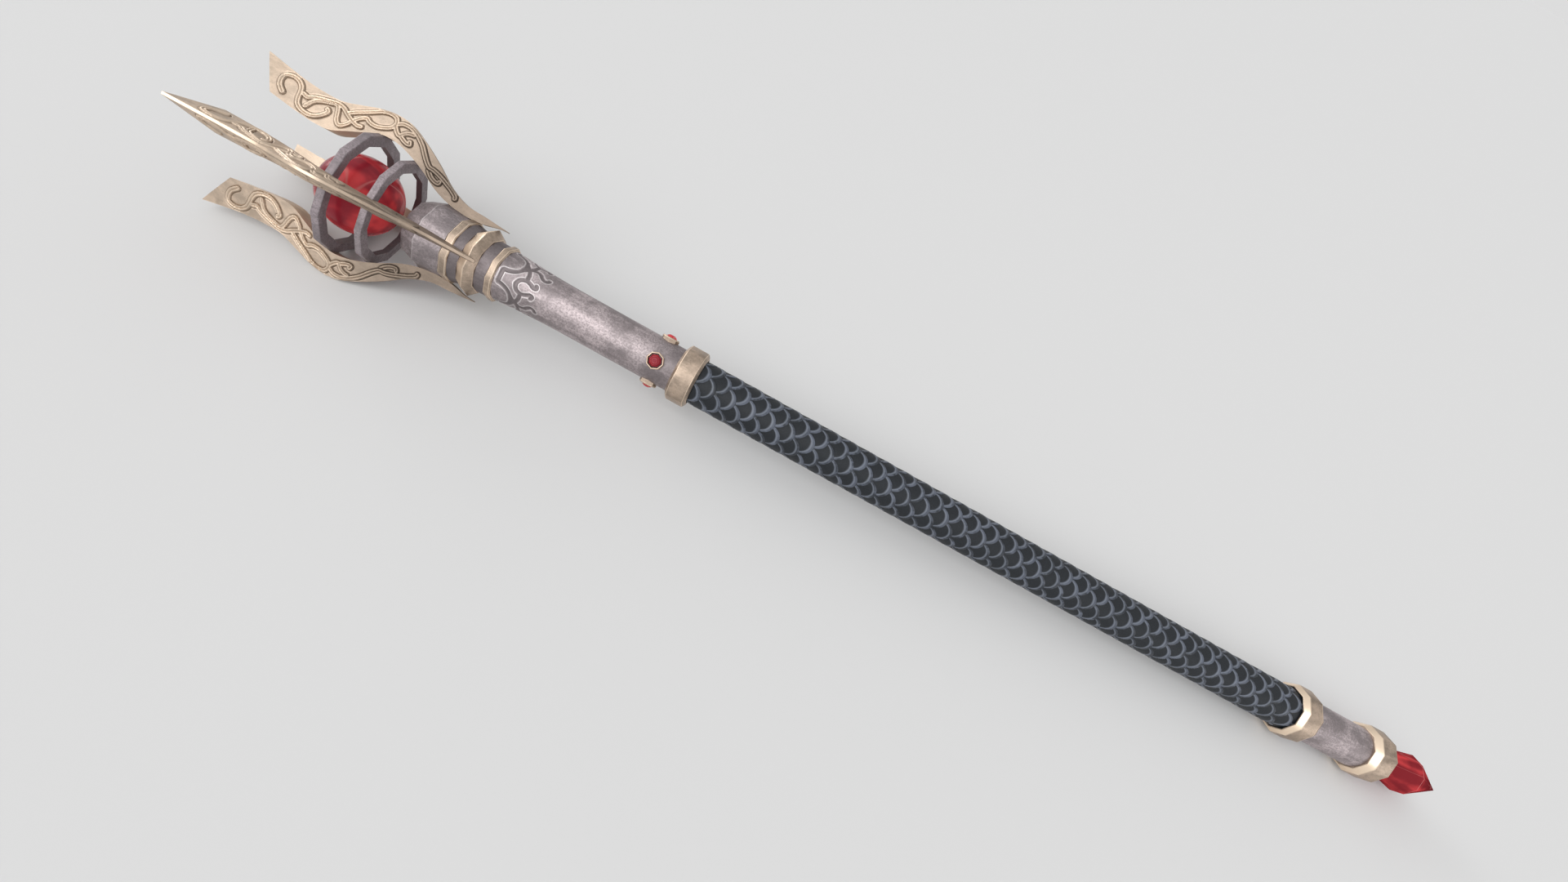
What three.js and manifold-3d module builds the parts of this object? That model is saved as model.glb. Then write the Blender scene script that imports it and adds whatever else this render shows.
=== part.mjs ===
// A sceptre: four fin blades round a glass orb and two tilted hoops, a steel sleeve,
// a scaled grip and a crystal pommel. Millimetres, +Z up, the staff lying along X.
import * as THREE from 'three';
import { mergeVertices } from 'three/addons/utils/BufferGeometryUtils.js';
import Module from 'manifold-3d';

// Driving dimensions. The staff's own axis is X: the head lies toward -X and the pommel
// toward +X, and x = 0 is the middle of the joint under the upper collar.

const fitGap = 0.3; // clearance between any two pieces that touch
const flatness = 0.07; // how far a joined solid's corners may move when it is simplified
const weld = 1e-4; // corners closer than this are one
const cutReach = 1; // how far a cutting body runs past the faces that it opens

// Sleeve, grip and ferrule
const tubeRadius = 15.3; // outer radius of the sleeve's tube
const ferruleRadius = 15.1;
const tubeSides = 20;
const flareSteps = 2; // cones in the sleeve's flare
const gripRadius = 15.0; // radius at the foot of the scales
const scaleRise = 0.6; // height of a scale's free edge over its foot
const scalePitch = 14.64; // one row of scales to the next in the same column
const scalesAround = 6;
const fewestRows = 4;
const gripVisible = 476.6; // grip between its two collars
const ferruleVisible = 45.6; // ferrule between the lower collar and the pommel collar

// Collars, ten-sided rings over the joints
const collarSides = 10;
const collarRadius = 19.9; // to the corners
const collarLip = 0.5; // wall left at the thin end of a chamfer
const upperCollarLength = 15.6;
const upperChamfer = 1.8;
const lowerCollarLength = 16.9;
const lowerChamfer = 3.3;
const pommelCollarLength = 16.1;
const pommelCollarRadius = 19.5;
const pommelChamfer = 4.5;
const pommelWall = 4.0; // closed end of the pommel collar round the crystal

// Crystal
const crystalRootRadius = 8.5;
const crystalGirdleRadius = 15.3;
const crystalBodyLength = 28.9; // from the collar's end to the girdle
const crystalPointLength = 29.8; // from the girdle to the point
const crystalRootLength = 3.2; // length held in the collar

// Neck
const sleeveLength = 125.3; // from the upper collar to the neck ring
const flareLength = 50;
const flareRadius = 17.3; // tube at the neck ring
const neckShaftRadius = 16.5; // sleeve under the neck's rings
const neckRingLength = 4.7;
const neckRingRadius = 19.3;
const throatLength = 7.2; // between the bell and the neck ring
const throatRadius = 18.0;
const bellLength = 11.2;
const bellRadius = 23.8;
const bellHeadRadius = 19.6;
const bellBackRadius = 19.2;
const bellHeadLength = 6.4; // bell's slope on the head side
const grooveLength = 5.7; // between the socket ring and the bell
const grooveRadius = 20.4;
const grooveBackRadius = 19.0;
const socketRingLength = 5.8;
const socketRingRadius = 22.2;
const socketLength = 27.2;
const socketShoulder = 10.7; // slope at the socket's front
const socketFrontRadius = 18.95;
const socketShoulderRadius = 23.1;
const socketBackRadius = 21.3;

// Orb and its stem, which stands on the socket's front
const orbRadius = 25;
const orbFromSocket = 41.5; // orb's centre to the socket's front
const orbSegments = 18;
const orbRings = 11;
const stemRadius = 1.6;

// Hoops: flat twelve-sided bands, both tilted the same way
const hoopSides = 12;
const hoopTilt = 8; // degrees
const largeHoop = { radius: 41.3, depth: 7.2, width: 4.8, fromSocket: 43.2 };
const smallHoop = { radius: 36.2, depth: 6.9, width: 4.2, fromSocket: 19.2 };

// Blades. Their lines are told by distance from the socket's front, toward the head, and bend
// round the hoops, which are let into the inner edge.
const bladeCount = 4;
const bladeLength = 177.6;
const bladeOverhang = 1.0; // tail past the bell's end
const bladeTipCut = 15.3; // how far the tip's slanted end runs back at the inner edge
const ridgeWidth = 1.7;
const bladeSteps = 16;
const tipReach = 60; // size of the body that cuts the slanted end
const hoopSeat = { behind: 1.5, largeSink: 1.1, smallSink: 0.8, crest: 14.7 };
const largeSeat = largeHoop.fromSocket - hoopSeat.behind;
const smallSeat = smallHoop.fromSocket - hoopSeat.behind;
// radius of the outer ridge: [distance, radius]
const ridgeLine = [
  [-50.9, 25.3], [-38.3, 26.5], [-22.3, 27.2], [-9.3, 31.4], [5.7, 41.6], [29.7, 54.5],
  [largeSeat, largeHoop.radius + hoopSeat.crest], [58.7, 52.0], [74.7, 46.4], [87.7, 45.8],
  [106.7, 47.6], [126.7, 51.2],
];
// radius of the flat inner edge
const innerLine = [
  [-50.9, 24.8], [-45.3, 24.4], [-33.3, 21.6], [-21.3, 21.0], [-8.3, 23.0], [1.7, 26.6],
  [smallSeat, smallHoop.radius - hoopSeat.smallSink], [30.7, 39.8],
  [largeSeat, largeHoop.radius - hoopSeat.largeSink], [51.7, 36.4], [69.7, 27.2], [79.7, 25.8],
  [93.7, 26.9], [111.4, 29.3], [126.7, 31.0],
];
// width of the flat inner face
const widthLine = [
  [-50.9, 2.2], [-27.3, 4.8], [-3.3, 6.7], [19.7, 8.0], [42.7, 10.4], [73.7, 12.6], [94.7, 14.3],
  [126.7, 15.2],
];

// Steps along a surface or line, over which its direction is measured
const probe = { distance: 0.5, share: 0.05, line: 0.01 };
const fewestSpans = 3; // in a strand

// Knotwork on both sides of each blade
const knot = { width: 3.2, height: 0.7, sink: 0.5, step: 15 };
// each strand: [distance from the outer tip, share of the blade's height from the inner edge]
const knotStrands = [
  [[21, 0.22], [16, 0.45], [15.5, 0.68], [20.5, 0.87], [27, 0.84], [31, 0.64], [35, 0.56],
    [39, 0.68], [45, 0.82], [51, 0.88], [57, 0.72], [63, 0.42], [68, 0.24], [72, 0.2]],
  [[20, 0.6], [23.5, 0.74], [28, 0.62], [31, 0.4], [35, 0.12], [42, 0.1], [49, 0.3], [50.5, 0.5],
    [47, 0.58]],
  [[52, 0.76], [54.5, 0.5], [57.5, 0.22], [62.5, 0.2], [66.5, 0.42], [70.5, 0.52], [75, 0.36],
    [80, 0.2], [86, 0.3], [88, 0.6], [84, 0.84], [78, 0.88], [72, 0.72], [65, 0.66]],
  [[88.5, 0.5], [91, 0.74], [97.5, 0.84], [105, 0.8], [111, 0.56], [115, 0.36], [120, 0.26],
    [126, 0.34], [127.5, 0.52]],
  [[117, 0.4], [121, 0.58], [128, 0.7], [134, 0.82], [138, 0.66]],
];

// Scrolls on the sleeve beside the neck ring, one motif over each blade
const scroll = { width: 4, height: -0.7, sink: -0.7, step: 13 };
// each line: [distance from the neck ring, degrees round from the blade], mirrored
const scrollLines = [
  [[1.5, 14], [9.5, 22], [13.2, 45]],
  [[13.4, 0], [16.5, 15.5], [21.5, 14.5], [26, 12]],
  [[18.4, 19], [17.8, 33], [15.6, 46]],
];

// Studs on the sleeve
const studFromCollar = 13.2; // stud's centre to the upper collar
const bezelAcross = 12;
const bezelHole = 9.2;
const bezelHeight = 2.2; // over the sleeve
const bezelSides = 8;
const stoneRise = 3.8; // stone's top over the sleeve
const stoneTable = 0.45; // flat top as a share of the stone's radius
const stoneCrown = 0.83; // radius halfway up the crown, as a share of the stone's radius

const FULL_TURN = Math.PI * 2;
const bladeTurn = FULL_TURN / bladeCount;
const firstBlade = bladeTurn / 2; // lying, two blades point down to either side

// Stations along the axis, worked out from the lengths above

const upperCollarEnd = upperCollarLength / 2;
const upperCollarStart = -upperCollarLength / 2;
const lowerCollarStart = upperCollarEnd + gripVisible;
const lowerCollarEnd = lowerCollarStart + lowerCollarLength;
const lowerJoint = (lowerCollarStart + lowerCollarEnd) / 2;
const pommelCollarStart = lowerCollarEnd + ferruleVisible;
const pommelCollarEnd = pommelCollarStart + pommelCollarLength;
const ferruleEnd = pommelCollarEnd - pommelWall;
const crystalStart = pommelCollarEnd - crystalRootLength;
const crystalGirdle = pommelCollarEnd + crystalBodyLength;
const crystalPoint = crystalGirdle + crystalPointLength;
const neckRingEnd = upperCollarStart - sleeveLength;
const neckRingStart = neckRingEnd - neckRingLength;
const bellEnd = neckRingStart - throatLength;
const bellStart = bellEnd - bellLength;
const socketRingEnd = bellStart - grooveLength;
const socketRingStart = socketRingEnd - socketRingLength;
const socketFront = socketRingStart - socketLength;
const orbCentre = socketFront - orbFromSocket;
const bladeTip = bellEnd + bladeOverhang - bladeLength;

// Finishes

const finish = (color, roughness, metalness) =>
  new THREE.MeshStandardMaterial({ color, roughness, metalness });
const brass = finish(0xb9a184, 0.35, 1);
const steel = finish(0x75696b, 0.45, 1);
const darkSteel = finish(0x4c4648, 0.5, 1);
const leather = finish(0x24292d, 0.6, 0);
const redGlass = finish(0x8c1418, 0.08, 0);

// Solids that are joined or cut

const solids = await Module();
solids.setup();

function toSolid(geometry) {
  const bare = geometry.index ? geometry.toNonIndexed() : geometry.clone();
  bare.deleteAttribute('normal');
  bare.deleteAttribute('uv');
  const merged = mergeVertices(bare, weld);
  return new solids.Manifold(new solids.Mesh({
    numProp: 3,
    vertProperties: new Float32Array(merged.attributes.position.array),
    triVerts: new Uint32Array(merged.index.array),
  }));
}

function toGeometry(solid) {
  const mesh = solid.simplify(flatness).getMesh();
  const geometry = new THREE.BufferGeometry();
  geometry.setAttribute('position', new THREE.BufferAttribute(mesh.vertProperties, 3));
  geometry.setIndex(new THREE.BufferAttribute(mesh.triVerts, 1));
  return geometry;
}

// A point beside the axis: turn is measured from straight up, toward the front (-Y).
function around(x, radius, turn, side = 0) {
  const up = new THREE.Vector3(0, -Math.sin(turn), Math.cos(turn));
  const across = new THREE.Vector3(0, -Math.cos(turn), -Math.sin(turn));
  return new THREE.Vector3(x, 0, 0).addScaledVector(up, radius).addScaledVector(across, side);
}

// A profile of [x, radius] points turned round the axis, with a corner on the first blade.
function turned(profile, sides) {
  const points = profile.map(([x, radius]) => new THREE.Vector2(radius, x));
  const geometry = new THREE.LatheGeometry(points, sides, -firstBlade);
  geometry.rotateZ(-Math.PI / 2);
  return geometry;
}

// The same profile closed on the axis at both ends.
function solidTurned(profile, sides) {
  return turned([[profile[0][0], 0], ...profile, [profile.at(-1)[0], 0]], sides);
}

// A ten-sided ring with a round hole right through.
function ring(outer, bore) {
  const hole = solidTurned([[outer[0][0] - cutReach, bore], [outer.at(-1)[0] + cutReach, bore]], tubeSides);
  return toGeometry(toSolid(solidTurned(outer, collarSides)).subtract(toSolid(hole)));
}

// Corner radius that leaves a wall over a round bore between the corners.
const cornerOver = (radius, sides) => radius / Math.cos(Math.PI / sides);

// A smooth line through [x, y] points, read at any x.
function lineAt(points, x) {
  let i = 1;
  while (i < points.length - 1 && x > points[i][0]) i += 1;
  const before = points[Math.max(i - 2, 0)];
  const a = points[i - 1];
  const b = points[i];
  const after = points[Math.min(i + 1, points.length - 1)];
  const span = b[0] - a[0];
  const t = THREE.MathUtils.clamp((x - a[0]) / span, 0, 1);
  const slopeA = (b[1] - before[1]) / (b[0] - before[0]) * span;
  const slopeB = (after[1] - a[1]) / (after[0] - a[0]) * span;
  const t2 = t * t;
  const t3 = t2 * t;
  return (2 * t3 - 3 * t2 + 1) * a[1] + (t3 - 2 * t2 + t) * slopeA
    + (3 * t2 - 2 * t3) * b[1] + (t3 - t2) * slopeB;
}

// A closed body through equal loops of points, each loop a list of corners.
function loft(loops, flipped = false) {
  const size = loops[0].length;
  const positions = loops.flat().flatMap((point) => point.toArray());
  const faces = [];
  const face = (a, b, c) => faces.push(...(flipped ? [a, c, b] : [a, b, c]));
  for (let i = 0; i < loops.length - 1; i += 1) {
    for (let k = 0; k < size; k += 1) {
      const next = (k + 1) % size;
      const a = i * size + k;
      const b = i * size + next;
      face(a, a + size, b);
      face(b, a + size, b + size);
    }
  }
  const last = (loops.length - 1) * size;
  for (let k = 1; k < size - 1; k += 1) {
    face(0, k, k + 1);
    face(last, last + k + 1, last + k);
  }
  const geometry = new THREE.BufferGeometry();
  geometry.setAttribute('position', new THREE.Float32BufferAttribute(positions, 3));
  geometry.setIndex(faces);
  return geometry;
}

// A strand that follows a line on a surface: a low ridge whose foot is sunk into it, or, with
// both height and sink below zero, the body that cuts a groove.
function strand(line, surface, { width, height, sink, step }) {
  const curve = new THREE.CatmullRomCurve3(line.map(([a, b]) => surface(a, b).point));
  const count = Math.max(fewestSpans, Math.round(curve.getLength() / step));
  const flat = new THREE.CatmullRomCurve3(line.map(([a, b]) => new THREE.Vector3(a, b, 0)));
  const loops = [];
  for (let i = 0; i <= count; i += 1) {
    const place = flat.getPoint(i / count);
    const { point, normal } = surface(place.x, place.y);
    const ahead = flat.getPoint(Math.min(i / count + probe.line, 1));
    const behind = flat.getPoint(Math.max(i / count - probe.line, 0));
    const along = surface(ahead.x, ahead.y).point.sub(surface(behind.x, behind.y).point);
    const across = new THREE.Vector3().crossVectors(normal, along).normalize();
    const foot = point.clone().addScaledVector(normal, -sink);
    loops.push([
      foot.clone().addScaledVector(across, width / 2),
      point.clone().addScaledVector(normal, height),
      foot.clone().addScaledVector(across, -width / 2),
    ]);
  }
  return loft(loops, height > 0);
}

// Turned pieces

const stemLength = orbFromSocket - orbRadius - fitGap;
const socketProfile = [
  [socketFront - stemLength, 0],
  [socketFront - stemLength, stemRadius],
  [socketFront, stemRadius],
  [socketFront, socketFrontRadius],
  [socketFront + socketShoulder, socketShoulderRadius],
  [socketRingStart, socketBackRadius],
  [socketRingStart, 0],
];

// Radius of the sleeve at a distance from the neck ring.
function flareAt(distance) {
  const share = THREE.MathUtils.clamp(distance / flareLength, 0, 1);
  return tubeRadius + (flareRadius - tubeRadius) * (1 - share) ** 2;
}

const sleeveHead = socketRingStart + fitGap;
const tubeEnd = -fitGap / 2;
const sleeveProfile = [
  [sleeveHead, 0],
  [sleeveHead, neckShaftRadius],
  [socketRingEnd + fitGap, neckShaftRadius],
  [socketRingEnd + fitGap, grooveRadius],
  [bellStart - fitGap, grooveBackRadius],
  [bellStart - fitGap, neckShaftRadius],
  [bellEnd + fitGap, neckShaftRadius],
  [bellEnd + fitGap, throatRadius],
  [neckRingStart - fitGap, throatRadius],
  [neckRingStart - fitGap, neckShaftRadius],
  [neckRingEnd + fitGap, neckShaftRadius],
];
for (let i = 0; i <= flareSteps; i += 1) {
  const distance = flareLength * i / flareSteps;
  sleeveProfile.push([neckRingEnd + fitGap + distance, flareAt(distance)]);
}
sleeveProfile.push([tubeEnd, tubeRadius], [tubeEnd, 0]);

const shaftBore = neckShaftRadius + fitGap;
const tubeBore = tubeRadius + fitGap;
const gripBore = gripRadius + scaleRise + fitGap;
const socketRing = [[sleeveHead, socketRingRadius], [socketRingEnd, socketRingRadius]];
const bell = [
  [bellStart, bellHeadRadius],
  [bellStart + bellHeadLength, bellRadius],
  [bellEnd, bellBackRadius],
];
const neckRing = [[neckRingStart, neckRingRadius], [neckRingEnd, neckRingRadius]];

const collarBore = Math.max(gripBore, tubeBore);

function gripCollar(x0, x1, chamfer) {
  const lip = cornerOver(collarBore + collarLip, collarSides);
  const outer = [
    [x0, lip], [x0 + chamfer, collarRadius], [x1 - chamfer, collarRadius], [x1, lip],
  ];
  return ring(outer, collarBore);
}

// The pommel collar is a cap: the ferrule ends in it and its end holds the crystal's root.
const crystalBore = crystalRootRadius + fitGap;
const pommelBore = Math.max(ferruleRadius, tubeRadius) + fitGap;
const pommelLip = cornerOver(pommelBore + collarLip, collarSides);

function pommelCollar() {
  const outer = solidTurned([
    [pommelCollarStart, pommelLip],
    [pommelCollarStart + pommelChamfer, pommelCollarRadius],
    [pommelCollarEnd, pommelCollarRadius],
  ], collarSides);
  const bore = solidTurned([
    [pommelCollarStart - cutReach, pommelBore],
    [ferruleEnd, pommelBore],
  ], tubeSides);
  const hole = solidTurned([
    [ferruleEnd - cutReach, crystalBore],
    [pommelCollarEnd + cutReach, crystalBore],
  ], collarSides);
  return toGeometry(toSolid(outer).subtract(toSolid(bore)).subtract(toSolid(hole)));
}

const ferruleProfile = [
  [lowerJoint + fitGap / 2, ferruleRadius],
  [ferruleEnd - fitGap, ferruleRadius],
];

const crystalProfile = [
  [crystalStart, 0],
  [crystalStart, crystalRootRadius],
  [pommelCollarEnd, crystalRootRadius],
  [crystalGirdle, crystalGirdleRadius],
  [crystalPoint, 0],
];

// Grip: diamond scales in staggered rows, each rising from under the row before to its edge

function scaledGrip(start, end) {
  const columns = scalesAround * 2;
  const rows = Math.max(fewestRows, Math.round((end - start) / (scalePitch / 2)));
  const half = (end - start) / rows;
  const levels = { foot: gripRadius, edge: gripRadius + scaleRise };
  const positions = [];
  const ids = new Map();
  const corner = (row, column, level) => {
    const wrapped = (column + columns) % columns;
    const key = `${row} ${wrapped} ${level}`;
    if (!ids.has(key)) {
      ids.set(key, positions.length / 3);
      const turn = firstBlade + wrapped * FULL_TURN / columns;
      positions.push(...around(start + row * half, levels[level], turn).toArray());
    }
    return ids.get(key);
  };
  const faces = [];
  for (let row = 0; row <= rows; row += 1) {
    for (let column = (row + 1) % 2; column < columns; column += 2) {
      const left = corner(row, column - 1, 'foot');
      const right = corner(row, column + 1, 'foot');
      const top = corner(Math.max(row - 1, 0), column, 'foot');
      const tipFoot = corner(Math.min(row + 1, rows), column, 'foot');
      const tip = row < rows ? corner(row + 1, column, 'edge') : tipFoot;
      faces.push(top, right, tip, top, tip, left);
      if (row < rows) {
        faces.push(left, tip, tipFoot, tip, right, tipFoot);
      }
    }
  }
  const middle = (x) => positions.push(x, 0, 0) / 3 - 1;
  const startMiddle = middle(start);
  const endMiddle = middle(end);
  for (let column = 0; column < columns; column += 1) {
    faces.push(startMiddle, corner(0, column + 1, 'foot'), corner(0, column, 'foot'));
    faces.push(endMiddle, corner(rows, column, 'foot'), corner(rows, column + 1, 'foot'));
  }
  const geometry = new THREE.BufferGeometry();
  geometry.setAttribute('position', new THREE.Float32BufferAttribute(positions, 3));
  geometry.setIndex(faces);
  return geometry;
}

// Hoops, tilted about the line through two blades

function tilted(geometry, fromSocket) {
  const hinge = around(0, 1, -firstBlade);
  const turn = THREE.MathUtils.degToRad(hoopTilt);
  geometry.applyMatrix4(new THREE.Matrix4().makeRotationAxis(hinge, turn));
  geometry.translate(socketFront - fromSocket, 0, 0);
  return geometry;
}

function hoop({ radius, depth, width, fromSocket }) {
  const inner = radius - depth;
  const side = width / 2;
  const band = [[-side, radius], [side, radius], [side, inner], [-side, inner], [-side, radius]];
  return tilted(turned(band, hoopSides), fromSocket);
}

// The room that a blade leaves for a hoop, from the axis out.
function hoopRoom({ radius, width, fromSocket }) {
  const side = width / 2 + fitGap;
  const disc = solidTurned([[-side, radius + fitGap], [side, radius + fitGap]], hoopSides);
  return tilted(disc, fromSocket);
}

// Blades

const bladeSection = (x) => ({
  ridge: lineAt(ridgeLine, socketFront - x),
  inner: lineAt(innerLine, socketFront - x),
  half: lineAt(widthLine, socketFront - x) / 2,
});

function bladeBody(turn) {
  const loops = [];
  for (let i = 0; i <= bladeSteps; i += 1) {
    const x = bladeTip + bladeLength * i / bladeSteps;
    const { ridge, inner, half } = bladeSection(x);
    loops.push([
      around(x, inner, turn, -half),
      around(x, ridge, turn, -ridgeWidth / 2),
      around(x, ridge, turn, ridgeWidth / 2),
      around(x, inner, turn, half),
    ]);
  }
  return loft(loops, true);
}

// A side of a blade as a surface: distance from the tip, and share of height from the inner edge.
function bladeSide(turn, side) {
  const pointAt = (distance, share) => {
    const x = bladeTip + distance;
    const { ridge, inner, half } = bladeSection(x);
    const radius = inner + (ridge - inner) * share;
    const lateral = half + (ridgeWidth / 2 - half) * share;
    return around(x, radius, turn, side * lateral);
  };
  return (distance, share) => {
    const point = pointAt(distance, share);
    const along = pointAt(distance + probe.distance, share).sub(point);
    const rise = pointAt(distance, share + probe.share).sub(point);
    const normal = new THREE.Vector3().crossVectors(rise, along).normalize().multiplyScalar(side);
    return { point, normal };
  };
}

// Everything toward the axis and the head from the slanted end, as a wedge that cuts the tip.
function tipWedge(turn) {
  const { ridge } = bladeSection(bladeTip);
  const { inner } = bladeSection(bladeTip + bladeTipCut);
  const slope = (ridge - inner) / bladeTipCut;
  const foot = bladeTipCut + inner / slope;
  const head = bladeTipCut - tipReach / slope;
  const corners = (side) => [
    around(bladeTip - tipReach, inner + tipReach, turn, side),
    around(bladeTip + head, inner + tipReach, turn, side),
    around(bladeTip + foot, 0, turn, side),
    around(bladeTip - tipReach, 0, turn, side),
  ];
  return loft([corners(-tipReach / 2), corners(tipReach / 2)]);
}

const roundGroove = cornerOver(grooveRadius + fitGap, collarSides);
const neckEnvelope = toSolid(solidTurned([
  [socketFront - fitGap, socketFrontRadius + fitGap],
  [socketFront + socketShoulder, socketShoulderRadius + fitGap],
  [socketRingStart, socketBackRadius + fitGap],
  [socketRingStart, socketRingRadius + fitGap],
  [socketRingEnd + fitGap, socketRingRadius + fitGap],
  [socketRingEnd + fitGap, roundGroove],
  [bellStart - fitGap, roundGroove],
  [bellStart, bellHeadRadius + fitGap],
  [bellStart + bellHeadLength, bellRadius + fitGap],
  [bellEnd + fitGap, bellBackRadius + fitGap],
], collarSides));

function blade(turn) {
  let body = toSolid(bladeBody(turn)).subtract(toSolid(tipWedge(turn)));
  for (const side of [-1, 1]) {
    for (const line of knotStrands) {
      body = body.add(toSolid(strand(line, bladeSide(turn, side), knot)));
    }
  }
  for (const band of [largeHoop, smallHoop]) {
    body = body.subtract(toSolid(hoopRoom(band)));
  }
  return toGeometry(body.subtract(neckEnvelope));
}

// Sleeve with its scrolls

function sleeve() {
  let body = toSolid(turned(sleeveProfile, tubeSides));
  for (let k = 0; k < bladeCount; k += 1) {
    for (const mirror of [-1, 1]) {
      const surface = (distance, degrees) => {
        const turn = firstBlade + k * bladeTurn + mirror * THREE.MathUtils.degToRad(degrees);
        const point = around(neckRingEnd + fitGap + distance, flareAt(distance), turn);
        return { point, normal: around(0, 1, turn) };
      };
      for (const line of scrollLines) {
        body = body.subtract(toSolid(strand(line, surface, scroll)));
      }
    }
  }
  return toGeometry(body);
}

// Studs

const studPlace = upperCollarStart - studFromCollar;
const tubeEnvelope = toSolid(solidTurned([
  [studPlace - bezelAcross, tubeBore],
  [studPlace + bezelAcross, tubeBore],
], tubeSides));

// A prism or turned stone that stands on the tube, its own axis pointing out at the turn.
function standOut(profile, turn) {
  const points = profile.map(([height, radius]) => new THREE.Vector2(radius, height));
  const geometry = new THREE.LatheGeometry(points, bezelSides);
  geometry.rotateX(Math.PI / 2);
  geometry.rotateX(turn);
  geometry.translate(studPlace, 0, 0);
  return geometry;
}

function bezel(turn) {
  const foot = tubeRadius - bezelHeight;
  const top = tubeRadius + bezelHeight;
  const outer = bezelAcross / 2;
  const hole = bezelHole / 2;
  const band = standOut([[foot, outer], [top, outer], [top, hole], [foot, hole], [foot, outer]], turn);
  return toGeometry(toSolid(band).subtract(tubeEnvelope));
}

function stone(turn) {
  const radius = bezelHole / 2 - fitGap;
  const foot = tubeBore + fitGap / 2;
  const girdle = tubeRadius + bezelHeight;
  const top = tubeRadius + stoneRise;
  return standOut([
    [foot, 0],
    [foot, radius],
    [girdle, radius],
    [(girdle + top) / 2, radius * stoneCrown],
    [top, radius * stoneTable],
    [top, 0],
  ], turn);
}

// The staff, built along its own axis

const staff = new THREE.Group();

function place(name, geometry, material) {
  const mesh = new THREE.Mesh(geometry, material);
  mesh.name = name;
  staff.add(mesh);
}

place('socket', turned(socketProfile, collarSides), steel);
place('socket_ring', ring(socketRing, shaftBore), brass);
place('bell_collar', ring(bell, shaftBore), brass);
place('neck_ring', ring(neckRing, shaftBore), brass);
place('sleeve', sleeve(), steel);

const orb = new THREE.SphereGeometry(orbRadius, orbSegments, orbRings);
orb.rotateZ(-Math.PI / 2);
orb.translate(orbCentre, 0, 0);
place('orb', orb, redGlass);
place('large_hoop', hoop(largeHoop), darkSteel);
place('small_hoop', hoop(smallHoop), darkSteel);

for (let k = 0; k < bladeCount; k += 1) {
  const turn = firstBlade + k * bladeTurn;
  place(`blade_${k + 1}`, blade(turn), brass);
  place(`stud_bezel_${k + 1}`, bezel(turn), brass);
  place(`stud_stone_${k + 1}`, stone(turn), redGlass);
}

place('upper_grip_collar', gripCollar(upperCollarStart, upperCollarEnd, upperChamfer), brass);
place('grip', scaledGrip(fitGap / 2, lowerJoint - fitGap / 2), leather);
place('lower_grip_collar', gripCollar(lowerCollarStart, lowerCollarEnd, lowerChamfer), brass);
place('ferrule', solidTurned(ferruleProfile, tubeSides), steel);
place('pommel_collar', pommelCollar(), brass);
place('pommel_crystal', turned(crystalProfile, collarSides), redGlass);

// Rest: the staff lies on two blades and its pommel end. The line under both is the edge of
// its lower outline that passes under the middle of its length.

function restingTilt() {
  const outline = staff.children.flatMap((mesh) => {
    const { array } = mesh.geometry.attributes.position;
    return Array.from({ length: array.length / 3 }, (_, i) => [array[3 * i], array[3 * i + 2]]);
  }).sort((a, b) => a[0] - b[0] || a[1] - b[1]);
  const hull = [];
  const turnsUp = (a, b, c) => (b[0] - a[0]) * (c[1] - a[1]) - (b[1] - a[1]) * (c[0] - a[0]) > 0;
  for (const point of outline) {
    while (hull.length > 1 && !turnsUp(hull.at(-2), hull.at(-1), point)) hull.pop();
    hull.push(point);
  }
  const end = hull.findIndex(([x]) => x > 0);
  const [from, to] = [hull[end - 1], hull[end]];
  return Math.atan2(to[1] - from[1], to[0] - from[0]);
}

staff.rotation.y = restingTilt();
staff.updateMatrixWorld(true);
const box = new THREE.Box3().setFromObject(staff, true);
const middle = box.getCenter(new THREE.Vector3());
staff.position.set(-middle.x, -middle.y, -box.min.z);

const sceptre = new THREE.Group();
sceptre.add(staff);

export default sceptre;
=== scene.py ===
import math

import bmesh
import bpy
import numpy as np
from mathutils import Matrix, Vector


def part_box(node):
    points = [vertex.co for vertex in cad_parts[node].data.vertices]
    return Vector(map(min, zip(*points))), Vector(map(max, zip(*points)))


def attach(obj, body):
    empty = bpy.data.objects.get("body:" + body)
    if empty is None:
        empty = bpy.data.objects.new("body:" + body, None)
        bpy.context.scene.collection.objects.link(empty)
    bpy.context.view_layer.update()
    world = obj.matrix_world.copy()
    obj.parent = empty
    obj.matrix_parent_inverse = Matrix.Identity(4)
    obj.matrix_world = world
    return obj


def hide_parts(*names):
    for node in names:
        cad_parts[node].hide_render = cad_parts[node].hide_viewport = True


bl_info = {
    "name": "Sceptre",
    "version": (1, 0, 0),
    "blender": (4, 5, 0),
    "location": "3D View > Sidebar > Sceptre",
    "description": "Builds a sceptre with fin blades, hoops, a scaled grip and a crystal pommel",
    "category": "Object",
}

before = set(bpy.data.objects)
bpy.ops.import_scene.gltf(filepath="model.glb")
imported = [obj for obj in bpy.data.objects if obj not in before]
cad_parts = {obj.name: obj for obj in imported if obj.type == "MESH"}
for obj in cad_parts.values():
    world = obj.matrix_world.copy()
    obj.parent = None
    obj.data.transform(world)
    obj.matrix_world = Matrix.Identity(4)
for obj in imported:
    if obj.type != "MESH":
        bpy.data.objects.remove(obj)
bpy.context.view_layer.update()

# Places along the staff in millimetres, as in the solids: x runs along the staff from the
# middle of the upper collar, and turns are measured round it from straight up.
MM = 0.001
BLADE_COUNT = 4
FIRST_BLADE = math.pi / 4
QUARTER = math.pi / 2
SIDES = 10

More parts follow.
